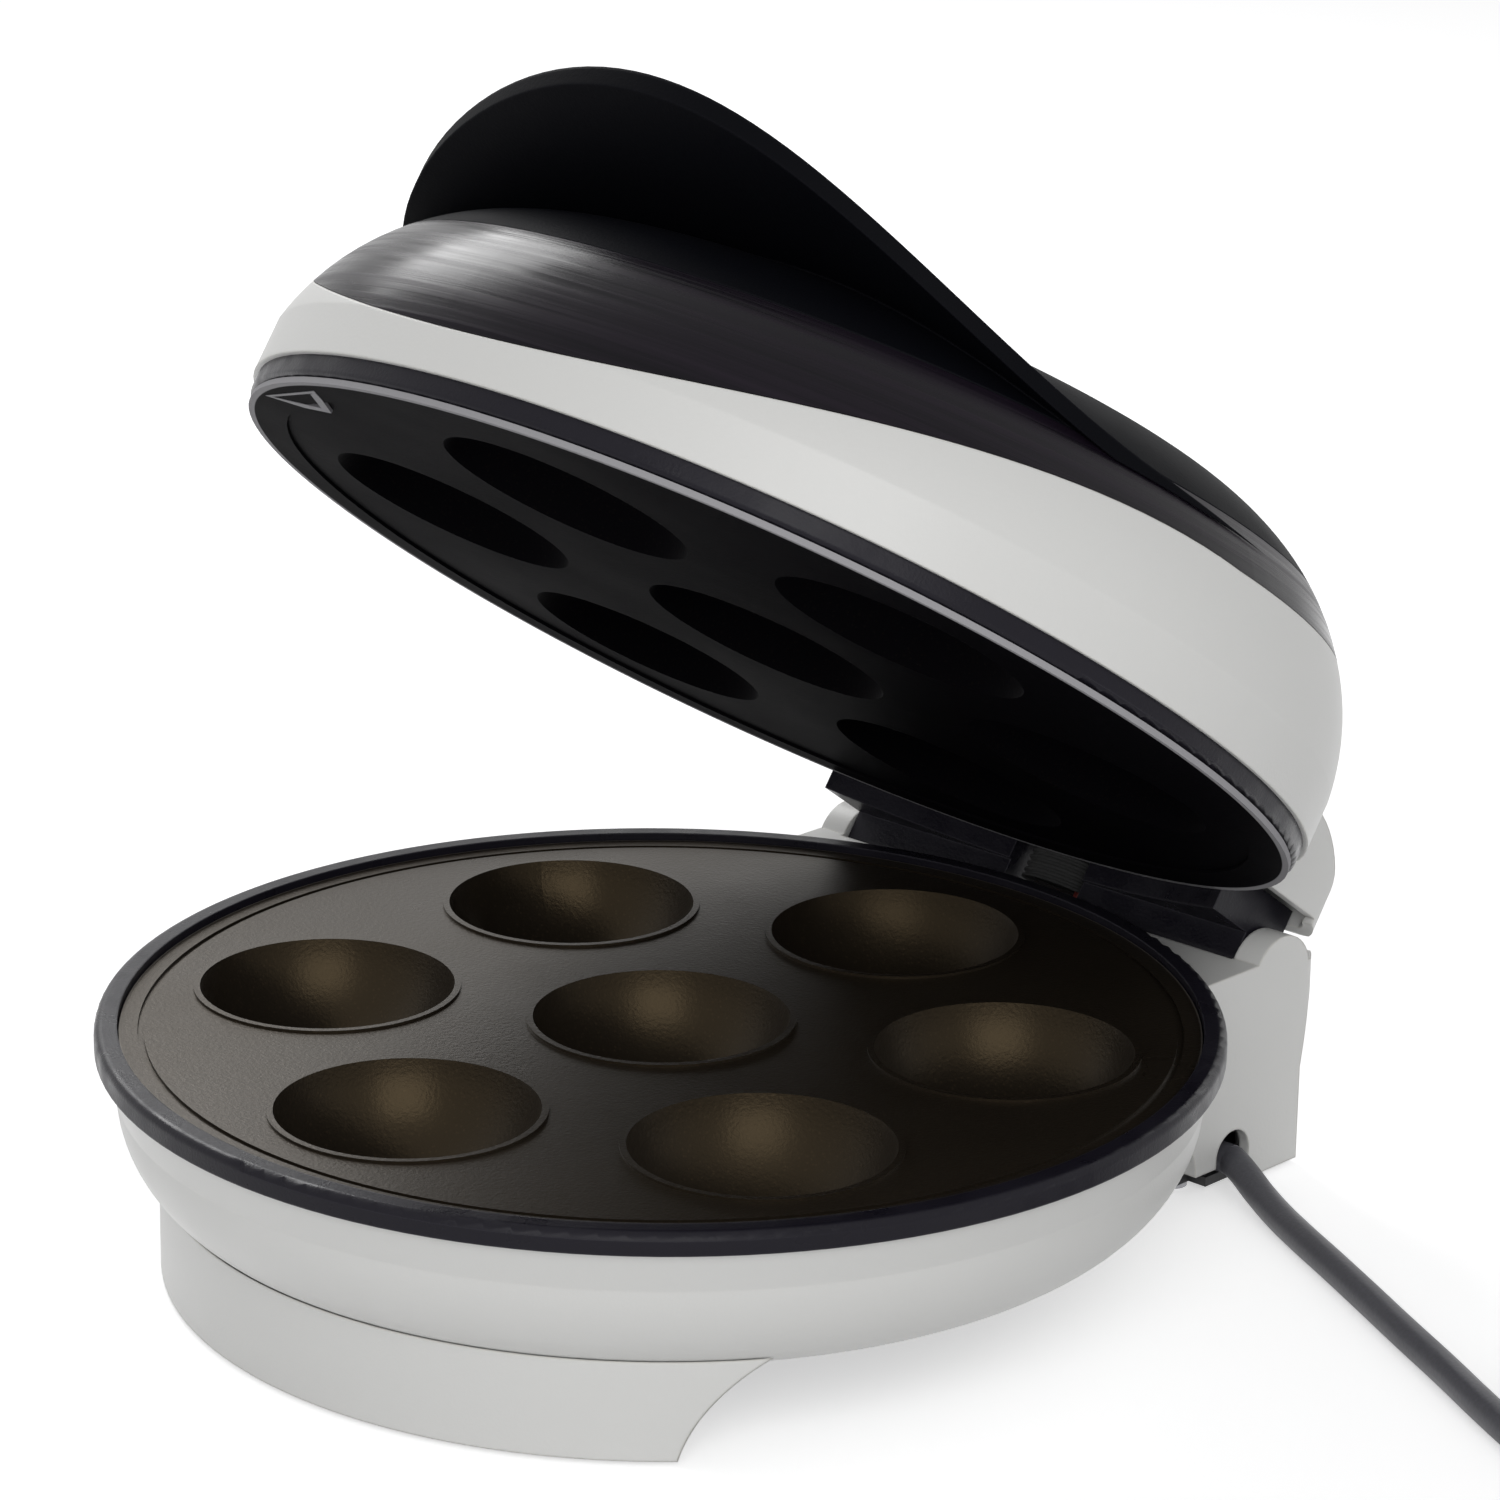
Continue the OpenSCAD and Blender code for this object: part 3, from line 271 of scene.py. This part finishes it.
bmesh.ops.inset_individual(work, faces=[tongue_face], thickness=tongue_edge)
bmesh.ops.delete(work, geom=[tongue_face], context="FACES_ONLY")
bmesh.ops.recalc_face_normals(work, faces=work.faces)
bmesh.ops.solidify(work, geom=work.faces[:], thickness=-tongue_sheet)
tongue = as_object(work, "plate_tongue", "lid", plate_frame, smooth=30)
print("tongue faces", len(tongue.data.polygons))

# %% [markdown]
# The lid's wire crosses the middle of the hinge between the two barrels. A ribbed rubber boot guards
# it there and closes the gap to the eye. Its outline is an oval that is extruded rib by rib.

# %% Boot round the lid's wire
work = bmesh.new()
boot_y, boot_z = 116.1 * mm, -5.5 * mm
boot_half_wide, boot_half_deep = 8.8 * mm, 5.2 * mm
rib_count, rib_shrink = 9, 0.93
boot_oval = (Matrix.Translation((0, boot_y, boot_z))
             @ Matrix.Diagonal((boot_half_wide, boot_half_deep, 1, 1)))
bmesh.ops.create_circle(work, cap_ends=True, radius=1, segments=28, matrix=boot_oval)
boot_face = work.faces[:]
for rib in range(rib_count):
    for step, scale in ((0.5, 1), (0.3, rib_shrink), (0.35, 1), (0.3, 1 / rib_shrink)):
        made = bmesh.ops.extrude_face_region(work, geom=boot_face)["geom"]
        bmesh.ops.delete(work, geom=boot_face, context="FACES_ONLY")
        boot_face = [g for g in made if isinstance(g, bmesh.types.BMFace)]
        ring = [g for g in made if isinstance(g, bmesh.types.BMVert)]
        bmesh.ops.translate(work, verts=ring, vec=(0, 0, step * mm))
        middle = Vector((0, boot_y, ring[0].co.z))
        bmesh.ops.scale(work, verts=ring, vec=(scale, scale, 1), space=Matrix.Translation(-middle))
boot = as_object(work, "lead_boot", "lid", plate_frame, smooth=50)
print("boot faces", len(boot.data.polygons))

# %% [markdown]
# The table is a wide white plane. It takes the machine's soft shadow like any white board, and a
# little light that only the camera and mirror-like surfaces see lifts it to paper white.

# %% Table and surrounding light
table_size = 6
paper_colour, paper_glow = (0.84, 0.84, 0.845, 1), 0.52
sky_light, sky_seen = 0.36, 1.0
table_mesh = bmesh.new()
bmesh.ops.create_grid(table_mesh, x_segments=2, y_segments=2, size=table_size)
board = bpy.data.meshes.new("table")
table_mesh.to_mesh(board)
table_mesh.free()
table = bpy.data.objects.new("table", board)
bpy.context.collection.objects.link(table)


def seen_directly(tree):
    """1 where the camera, a mirror or clear glass looks, else 0."""
    path = tree.nodes.new("ShaderNodeLightPath")
    total = path.outputs["Is Camera Ray"]
    for kind in ("Is Glossy Ray", "Is Transmission Ray"):
        add = tree.nodes.new("ShaderNodeMath")
        add.operation = "ADD"
        add.use_clamp = True
        tree.links.new(total, add.inputs[0])
        tree.links.new(path.outputs[kind], add.inputs[1])
        total = add.outputs[0]
    return total


paper = bpy.data.materials.new("white table")
paper.use_nodes = True
tree = paper.node_tree
tree.nodes.clear()
matt = tree.nodes.new("ShaderNodeBsdfDiffuse")
matt.inputs["Color"].default_value = paper_colour
glow = tree.nodes.new("ShaderNodeEmission")
level = tree.nodes.new("ShaderNodeMath")
level.operation = "MULTIPLY"
level.inputs[1].default_value = paper_glow
tree.links.new(seen_directly(tree), level.inputs[0])
tree.links.new(level.outputs[0], glow.inputs["Strength"])
both = tree.nodes.new("ShaderNodeAddShader")
tree.links.new(matt.outputs[0], both.inputs[0])
tree.links.new(glow.outputs[0], both.inputs[1])
out = tree.nodes.new("ShaderNodeOutputMaterial")
tree.links.new(both.outputs[0], out.inputs["Surface"])
board.materials.append(paper)

world = bpy.data.worlds.new("studio")
bpy.context.scene.world = world
world.use_nodes = True
tree = world.node_tree
tree.nodes.clear()
sky = tree.nodes.new("ShaderNodeBackground")
sky.inputs["Color"].default_value = (1, 1, 1, 1)
level = tree.nodes.new("ShaderNodeMapRange")
level.inputs["To Min"].default_value = sky_light
level.inputs["To Max"].default_value = sky_seen
tree.links.new(seen_directly(tree), level.inputs["Value"])
tree.links.new(level.outputs["Result"], sky.inputs["Strength"])
out = tree.nodes.new("ShaderNodeOutputWorld")
tree.links.new(sky.outputs[0], out.inputs["Surface"])
bpy.context.scene.view_settings.view_transform = "Standard"
print("table and surrounding light ready")


# %% [markdown]
# Two soft boxes light the machine. One stands high at the left and a little behind, where the glossy
# shoulder of the lid mirrors it as one soft bright patch. A larger one at the camera's right keeps
# the white housing evenly bright.

# %% Lamps
def soft_box(name, place, aim, wide, high, watts):
    lamp = bpy.data.lights.new(name, "AREA")
    lamp.shape = "RECTANGLE"
    lamp.size, lamp.size_y = wide, high
    lamp.energy = watts
    box = bpy.data.objects.new(name, lamp)
    bpy.context.collection.objects.link(box)
    box.location = place
    box.rotation_mode = "QUATERNION"
    box.rotation_quaternion = (Vector(aim) - Vector(place)).to_track_quat("-Z", "Y")


soft_box("key", (-1.00, 0.37, 0.90), (0, -0.05, 0.18), 0.55, 0.50, 7)
soft_box("front fill", (1.05, -0.95, 0.95), (0, 0, 0.08), 1.3, 1.1, 12.5)
print("lamps ready")


# %% [markdown]
# Several finishes share the same effects: the fine grain of a mould, a patchy sheen where hands
# touch, softened edges with a mask along them where a highlight is painted, and streaks that run
# round an axis. Each effect is one node group with named inputs, so a finish only says how strong it
# is.

# %% Helpers for node groups
def start_group(name, inputs, outputs):
    """A shader group with float, colour or vector sockets: {name: (type, default)}."""
    group = bpy.data.node_groups.new(name, "ShaderNodeTree")
    for socket, (kind, default) in inputs.items():
        made = group.interface.new_socket(socket, in_out="INPUT", socket_type="NodeSocket" + kind)
        if default is not None:
            made.default_value = default
    for socket, kind in outputs.items():
        group.interface.new_socket(socket, in_out="OUTPUT", socket_type="NodeSocket" + kind)
    return group, group.nodes.new("NodeGroupInput"), group.nodes.new("NodeGroupOutput")


def add_node(tree, kind, links=None, **values):
    """A node with its properties set and its inputs linked or filled."""
    node = tree.nodes.new("ShaderNode" + kind)
    for key, value in values.items():
        setattr(node, key, value)
    for socket, source in (links or {}).items():
        if isinstance(source, bpy.types.NodeSocket):
            tree.links.new(source, node.inputs[socket])
        else:
            node.inputs[socket].default_value = source
    return node


# %% Grain and sheen groups
grain_group, ins, outs = start_group(
    "moulded grain", {"Size": ("Float", 900.0), "Coarse": ("Float", 0.3)}, {"Height": "Float"})
where = add_node(grain_group, "TexCoord")
fine = add_node(grain_group, "TexNoise", {
    "Vector": where.outputs["Object"], "Scale": ins.outputs["Size"], "Detail": 3.0, "Roughness": 0.6})
slow = add_node(grain_group, "TexNoise", {
    "Vector": where.outputs["Object"], "Scale": 60.0, "Detail": 2.0})
share = add_node(grain_group, "Math", {0: slow.outputs[0], 1: ins.outputs["Coarse"]},
                 operation="MULTIPLY")
total = add_node(grain_group, "Math", {0: fine.outputs[0], 1: share.outputs[0]}, operation="ADD")
grain_group.links.new(total.outputs[0], outs.inputs["Height"])

sheen_group, ins, outs = start_group(
    "patchy sheen", {"Size": ("Float", 22.0), "Low": ("Float", 0.3), "High": ("Float", 0.45)},
    {"Roughness": "Float"})
where = add_node(sheen_group, "TexCoord")
patch = add_node(sheen_group, "TexNoise", {
    "Vector": where.outputs["Object"], "Scale": ins.outputs["Size"], "Detail": 4.0, "Roughness": 0.55})
spread = add_node(sheen_group, "MapRange", {
    "Value": patch.outputs[0], "From Min": 0.35, "From Max": 0.65,
    "To Min": ins.outputs["Low"], "To Max": ins.outputs["High"]})
sheen_group.links.new(spread.outputs["Result"], outs.inputs["Roughness"])

# %% Soft edge group
edge_group, ins, outs = start_group(
    "soft edges", {"Radius": ("Float", 0.0006)}, {"Normal": "Vector", "Edge": "Float"})
rounded = add_node(edge_group, "Bevel", {"Radius": ins.outputs["Radius"]}, samples=4)
plain = add_node(edge_group, "NewGeometry")
alike = add_node(edge_group, "VectorMath", {0: rounded.outputs[0], 1: plain.outputs["Normal"]},
                 operation="DOT_PRODUCT")
# The Edge mask marks the rounded edges; the finishes paint their highlight with it.
mask = add_node(edge_group, "MapRange", {
    "Value": alike.outputs["Value"], "From Min": 0.995, "From Max": 0.85,
    "To Min": 0.0, "To Max": 1.0})
edge_group.links.new(rounded.outputs[0], outs.inputs["Normal"])
edge_group.links.new(mask.outputs["Result"], outs.inputs["Edge"])

# %% Round streak group
streak_group, ins, outs = start_group(
    "round streaks",
    {"Vector": ("Vector", None), "Fineness": ("Float", 500.0), "Length": ("Float", 1.2)},
    {"Streak": "Float", "Radius": "Float"})
parts = add_node(streak_group, "SeparateXYZ", {0: ins.outputs["Vector"]})
xx = add_node(streak_group, "Math", {0: parts.outputs[0], 1: parts.outputs[0]}, operation="MULTIPLY")
yy = add_node(streak_group, "Math", {0: parts.outputs[1], 1: parts.outputs[1], 2: xx.outputs[0]},
              operation="MULTIPLY_ADD")
radius = add_node(streak_group, "Math", {0: yy.outputs[0]}, operation="SQRT")
turn = add_node(streak_group, "Math", {0: parts.outputs[1], 1: parts.outputs[0]}, operation="ARCTAN2")
across, up, along = [
    add_node(streak_group, "Math", {0: source, 1: ins.outputs[factor]}, operation="MULTIPLY")
    for source, factor in ((radius.outputs[0], "Fineness"), (parts.outputs[2], "Fineness"),
                           (turn.outputs[0], "Length"))]
place = add_node(streak_group, "CombineXYZ", {
    0: across.outputs[0], 1: up.outputs[0], 2: along.outputs[0]})
lines = add_node(streak_group, "TexNoise", {
    "Vector": place.outputs[0], "Scale": 1.0, "Detail": 3.0, "Roughness": 0.6})
streak_group.links.new(lines.outputs[0], outs.inputs["Streak"])
streak_group.links.new(radius.outputs[0], outs.inputs["Radius"])
print("groups", [g.name for g in bpy.data.node_groups if g.type == "SHADER"])


# %% [markdown]
# A finish is a Principled shader with those groups in front of it. The helper starts one with the
# constant values on the shader's own sockets, and each finish below adds only what varies.

# %% Helpers for finishes
def finish(name, colour, rough=0.5, **sockets):
    """A material with its Principled shader; constant values sit on its own sockets."""
    material = bpy.data.materials.new(name)
    material.use_nodes = True
    shader = material.node_tree.nodes["Principled BSDF"]
    shader.inputs["Base Color"].default_value = (*colour, 1)
    shader.inputs["Roughness"].default_value = rough
    for socket, value in sockets.items():
        shader.inputs[socket.replace("_", " ")].default_value = value
    return material, material.node_tree, shader


def add_group(tree, group, **values):
    node = tree.nodes.new("ShaderNodeGroup")
    node.node_tree = group
    for socket, value in values.items():
        if isinstance(value, bpy.types.NodeSocket):
            tree.links.new(value, node.inputs[socket])
        else:
            node.inputs[socket].default_value = value
    return node


def add_relief(tree, shader, height, strength, distance, normal=None):
    bump = add_node(tree, "Bump", {"Height": height, "Strength": strength, "Distance": distance})
    if normal is not None:
        tree.links.new(normal, bump.inputs["Normal"])
    tree.links.new(bump.outputs[0], shader.inputs["Normal"])


def tinted(tree, shader, mask, colour_a, colour_b, low, high):
    """Base colour that goes from colour_a to colour_b as the mask goes from low to high."""
    ramp = tree.nodes.new("ShaderNodeValToRGB")
    ramp.color_ramp.elements[0].position, ramp.color_ramp.elements[1].position = low, high
    ramp.color_ramp.elements[0].color = (*colour_a, 1)
    ramp.color_ramp.elements[1].color = (*colour_b, 1)
    tree.links.new(mask, ramp.inputs[0])
    tree.links.new(ramp.outputs[0], shader.inputs["Base Color"])


# %% [markdown]
# The housing is white plastic with a very fine grain, a little warm, not quite pure white. Its sheen
# varies where it is handled. Its cut edges are rounded in the shading, and the thin light line along
# them is a painted highlight.

# %% White housing plastic
housing_white, edge_highlight_white = (0.72, 0.72, 0.705), (0.82, 0.81, 0.76)
white, tree, shader = finish("white housing plastic", housing_white, Specular_IOR_Level=0.4)
edge = add_group(tree, edge_group, Radius=0.0008)
grain = add_group(tree, grain_group, Size=1400.0, Coarse=0.6)
sheen = add_group(tree, sheen_group, Size=18.0, Low=0.36, High=0.46)
# Painted highlight: the colour turns lighter along the edges.
tinted(tree, shader, edge.outputs["Edge"], housing_white, edge_highlight_white, 0.1, 0.9)
tree.links.new(sheen.outputs[0], shader.inputs["Roughness"])
add_relief(tree, shader, grain.outputs[0], 0.12, 0.0003, edge.outputs["Normal"])
print(white.name)

# %% [markdown]
# Black mouldings come in three sheens. The rings are smooth with a lively surface that breaks the
# light into glints; the visor is matt; the shoulder of the lid is glossy and shows fine streaks that
# run round the dome, so its pattern is turned into the dome's own axis first. On the rings and the
# visor a lighter colour along the edges is a painted highlight.

# %% Ring and cover plastics
ring_black, tree, shader = finish("black ring plastic", (0.012, 0.011, 0.015), 0.3,
                                  Specular_IOR_Level=0.15)
edge = add_group(tree, edge_group, Radius=0.0005)
grain = add_group(tree, grain_group, Size=1500.0, Coarse=0.15)
sheen = add_group(tree, sheen_group, Size=90.0, Low=0.24, High=0.42)
# Painted highlight: the ring's colour turns lighter grey along its edges.
tinted(tree, shader, edge.outputs["Edge"], (0.010, 0.009, 0.014), (0.05, 0.048, 0.06), 0.2, 0.9)
tree.links.new(sheen.outputs[0], shader.inputs["Roughness"])
add_relief(tree, shader, grain.outputs[0], 0.30, 0.0002, edge.outputs["Normal"])

cover_black, tree, shader = finish("black cover plastic", (0.022, 0.022, 0.024), 0.55)
grain = add_group(tree, grain_group, Size=1100.0, Coarse=0.4)
sheen = add_group(tree, sheen_group, Size=30.0, Low=0.48, High=0.62)
tree.links.new(sheen.outputs[0], shader.inputs["Roughness"])
add_relief(tree, shader, grain.outputs[0], 0.3, 0.0003)

visor_colour, visor_edge_highlight = (0.0020, 0.0022, 0.0034), (0.008, 0.008, 0.011)
visor_black, tree, shader = finish("matt visor plastic", visor_colour, 0.6, Specular_IOR_Level=0.04)
edge = add_group(tree, edge_group, Radius=0.0007)
grain = add_group(tree, grain_group, Size=1500.0, Coarse=0.3)
sheen = add_group(tree, sheen_group, Size=16.0, Low=0.5, High=0.62)
# Painted highlight: the visor's colour turns lighter along its edges.
tinted(tree, shader, edge.outputs["Edge"], visor_colour, visor_edge_highlight, 0.3, 0.95)
tree.links.new(sheen.outputs[0], shader.inputs["Roughness"])
add_relief(tree, shader, grain.outputs[0], 0.2, 0.0003, edge.outputs["Normal"])
print(ring_black.name, cover_black.name, visor_black.name)

# %% Glossy shoulder
def in_frame_of(tree, matrix):
    """Object coordinates turned into another frame by a Mapping node."""
    inverse = matrix.inverted()
    where = add_node(tree, "TexCoord")
    turned = add_node(tree, "Mapping", {"Vector": where.outputs["Object"],
                                        "Location": inverse.to_translation(),
                                        "Rotation": inverse.to_euler()})
    return turned.outputs[0]


gloss_black, tree, shader = finish("glossy shoulder plastic", (0.010, 0.008, 0.013), 0.2,
                                   Specular_IOR_Level=0.12)
streak = add_group(tree, streak_group, Vector=in_frame_of(tree, dome_frame),
                   Fineness=420.0, Length=0.9)
spread = add_node(tree, "MapRange", {
    "Value": streak.outputs["Streak"], "From Min": 0.35, "From Max": 0.65,
    "To Min": 0.16, "To Max": 0.36})
tree.links.new(spread.outputs["Result"], shader.inputs["Roughness"])
tinted(tree, shader, streak.outputs["Streak"], (0.003, 0.0022, 0.0045), (0.012, 0.008, 0.014),
       0.35, 0.75)
add_relief(tree, shader, streak.outputs["Streak"], 0.25, 0.0003)
print(gloss_black.name)

# %% [markdown]
# The cooking plates are pressed sheet with a dark brown non-stick coat. The coat has a faint speckle
# and a soft sheen. On the upper plate the thin flange round its edge stays bare, and the lid's ring
# shows it as a light line, so that plate gets its own finish with a mask by radius. Its coat is
# also painted far darker than the lower one's and has almost no gloss: painted shade under the open
# lid.

# %% Coated plates
def coated(name, frame_of, rim_from, rim_to, rim_colour, low, high, gloss, coat_colour, spot_colour):
    """A coat with speckles inside rim_from; outside rim_to the sheet is bare."""
    material, tree, shader = finish(name, coat_colour, 0.35, Specular_IOR_Level=gloss,
                                    Specular_Tint=(1.0, 0.74, 0.42, 1))
    streak = add_group(tree, streak_group, Vector=in_frame_of(tree, frame_of),
                       Fineness=260.0, Length=2.0)
    grain = add_group(tree, grain_group, Size=1300.0, Coarse=0.5)
    sheen = add_group(tree, sheen_group, Size=14.0, Low=low, High=high)
    where = add_node(tree, "TexCoord")
    spots = add_node(tree, "TexVoronoi", {"Vector": where.outputs["Object"], "Scale": 900.0})
    speckle = add_node(tree, "MapRange", {
        "Value": spots.outputs["Distance"], "From Min": 0.05, "From Max": 0.3,
        "To Min": 1.0, "To Max": 0.0})
    coat = add_node(tree, "Mix", {"Factor": speckle.outputs["Result"]}, data_type="RGBA")
    coat.inputs[6].default_value = (*coat_colour, 1)
    coat.inputs[7].default_value = (*spot_colour, 1)
    bare = add_node(tree, "MapRange", {
        "Value": streak.outputs["Radius"], "From Min": rim_from, "From Max": rim_to})
    skin = add_node(tree, "Mix", {"Factor": bare.outputs["Result"]}, data_type="RGBA")
    tree.links.new(coat.outputs[2], skin.inputs[6])
    skin.inputs[7].default_value = (*rim_colour, 1)
    tree.links.new(skin.outputs[2], shader.inputs["Base Color"])
    tree.links.new(sheen.outputs[0], shader.inputs["Roughness"])
    add_relief(tree, shader, grain.outputs[0], 0.25, 0.0003)
    return material


base_plate_frame = Matrix.Translation(rim_middle)
lower_coat = coated("lower plate coat", base_plate_frame, 0.1048, 0.1050, (0.10, 0.09, 0.08),
                    0.27, 0.40, 0.26, (0.014, 0.011, 0.008), (0.027, 0.020, 0.013))
# Painted shade: the upper coat is far darker than the lower one and has almost no gloss.
shaded_upper_coat = coated("upper plate coat with painted shade", plate_frame, 0.1090, 0.1092, (0.36, 0.355, 0.37),
                    0.50, 0.60, 0.004, (0.0034, 0.0032, 0.0042), (0.0065, 0.0055, 0.0055))
print(lower_coat.name, shaded_upper_coat.name)


# %% [markdown]
# Metals differ mostly in their sheen: heating tubes are dull and tinted by heat, the reflectors are
# bright rolled sheet, pins and screws are zinc plated, and brass caps the fuses.

# %% Metals
def metal(name, colour, tint, low, high, size=40.0):
    material, tree, shader = finish(name, colour, 0.4, Metallic=1.0)
    sheen = add_group(tree, sheen_group, Size=size, Low=low, High=high)
    grain = add_group(tree, grain_group, Size=1200.0, Coarse=0.5)
    tinted(tree, shader, grain.outputs[0], colour, tint, 0.4, 1.0)
    tree.links.new(sheen.outputs[0], shader.inputs["Roughness"])
    add_relief(tree, shader, grain.outputs[0], 0.15, 0.0002)
    return material


tube_steel = metal("heat tinted tube steel", (0.30, 0.28, 0.26), (0.20, 0.15, 0.12), 0.38, 0.55)
sheet_bright = metal("bright reflector sheet", (0.78, 0.78, 0.76), (0.68, 0.68, 0.67), 0.22, 0.34, 25.0)
pin_metal = metal("plated pin steel", (0.62, 0.62, 0.63), (0.50, 0.50, 0.52), 0.22, 0.32)
screw_metal = metal("plated screw steel", (0.48, 0.48, 0.50), (0.36, 0.36, 0.38), 0.28, 0.42)
brass_metal = metal("fuse brass", (0.66, 0.50, 0.24), (0.50, 0.36, 0.16), 0.30, 0.42)
blade_metal = metal("nickel blade metal", (0.70, 0.69, 0.66), (0.60, 0.59, 0.56), 0.20, 0.30)


# %% Ceramic, insulation, rubber and lenses
def dull(name, colour, tint, low, high, size, relief, **sockets):
    material, tree, shader = finish(name, colour, 0.5, **sockets)
    sheen = add_group(tree, sheen_group, Size=30.0, Low=low, High=high)
    grain = add_group(tree, grain_group, Size=size, Coarse=0.4)
    tinted(tree, shader, grain.outputs[0], colour, tint, 0.4, 1.0)
    tree.links.new(sheen.outputs[0], shader.inputs["Roughness"])
    add_relief(tree, shader, grain.outputs[0], relief, 0.0003)
    return material


ceramic = dull("cream ceramic", (0.66, 0.61, 0.50), (0.58, 0.53, 0.43), 0.5, 0.65, 700.0, 0.3)
insulation = dull("red wire sleeve", (0.30, 0.035, 0.025), (0.20, 0.02, 0.015), 0.4, 0.55, 900.0, 0.2)
lead_rubber = dull("grey black lead rubber", (0.085, 0.084, 0.098), (0.062, 0.062, 0.072),
                   0.38, 0.52, 1100.0, 0.25)
edge_grey = dull("bare grey edge", (0.24, 0.236, 0.25), (0.20, 0.197, 0.21),
                 0.5, 0.6, 900.0, 0.2, Specular_IOR_Level=0.2)
pad_rubber = dull("pad rubber", (0.020, 0.020, 0.020), (0.032, 0.032, 0.032), 0.7, 0.85, 800.0, 0.4)
red_lens = dull("red lamp lens", (0.45, 0.012, 0.010), (0.30, 0.006, 0.006),
                0.08, 0.16, 300.0, 0.1, Coat_Weight=0.5)
green_lens = dull("green lamp lens", (0.015, 0.30, 0.045), (0.008, 0.20, 0.03),
                  0.08, 0.16, 300.0, 0.1, Coat_Weight=0.5)

# %% Give every node and piece its finish
finish_of_slot = {
    "white_housing": white, "black_trim": ring_black, "black_gloss": gloss_black,
    "black_matte": visor_black, "black_cover": cover_black, "nonstick_plate": lower_coat,
    "heater_steel": tube_steel, "bright_sheet": sheet_bright, "ceramic": ceramic,
    "brass": brass_metal, "lead_insulation": insulation, "pin_steel": pin_metal,
    "screw_steel": screw_metal, "rubber": pad_rubber, "red_lens": red_lens,
    "green_lens": green_lens, "cord_rubber": lead_rubber, "plug_metal": blade_metal,
}
for part in frame["record"]["subparts"]:
    chosen = shaded_upper_coat if part["node"] == "upper_plate" else finish_of_slot[part["material_slot"]]
    piece = nodes[part["node"]]
    piece.data.materials.clear()
    piece.data.materials.append(chosen)
for piece, chosen in ((lead, lead_rubber), (plug_mould, lead_rubber), (plug_sleeve, lead_rubber),
                      (plug_blades, blade_metal), (tongue, edge_grey), (boot, pad_rubber)):
    piece.data.materials.append(chosen)
print("finishes", len(finish_of_slot) + 1)

# %% [markdown]
# The last cell brings the scene up to date.

# %% Finish
bpy.context.view_layer.update()
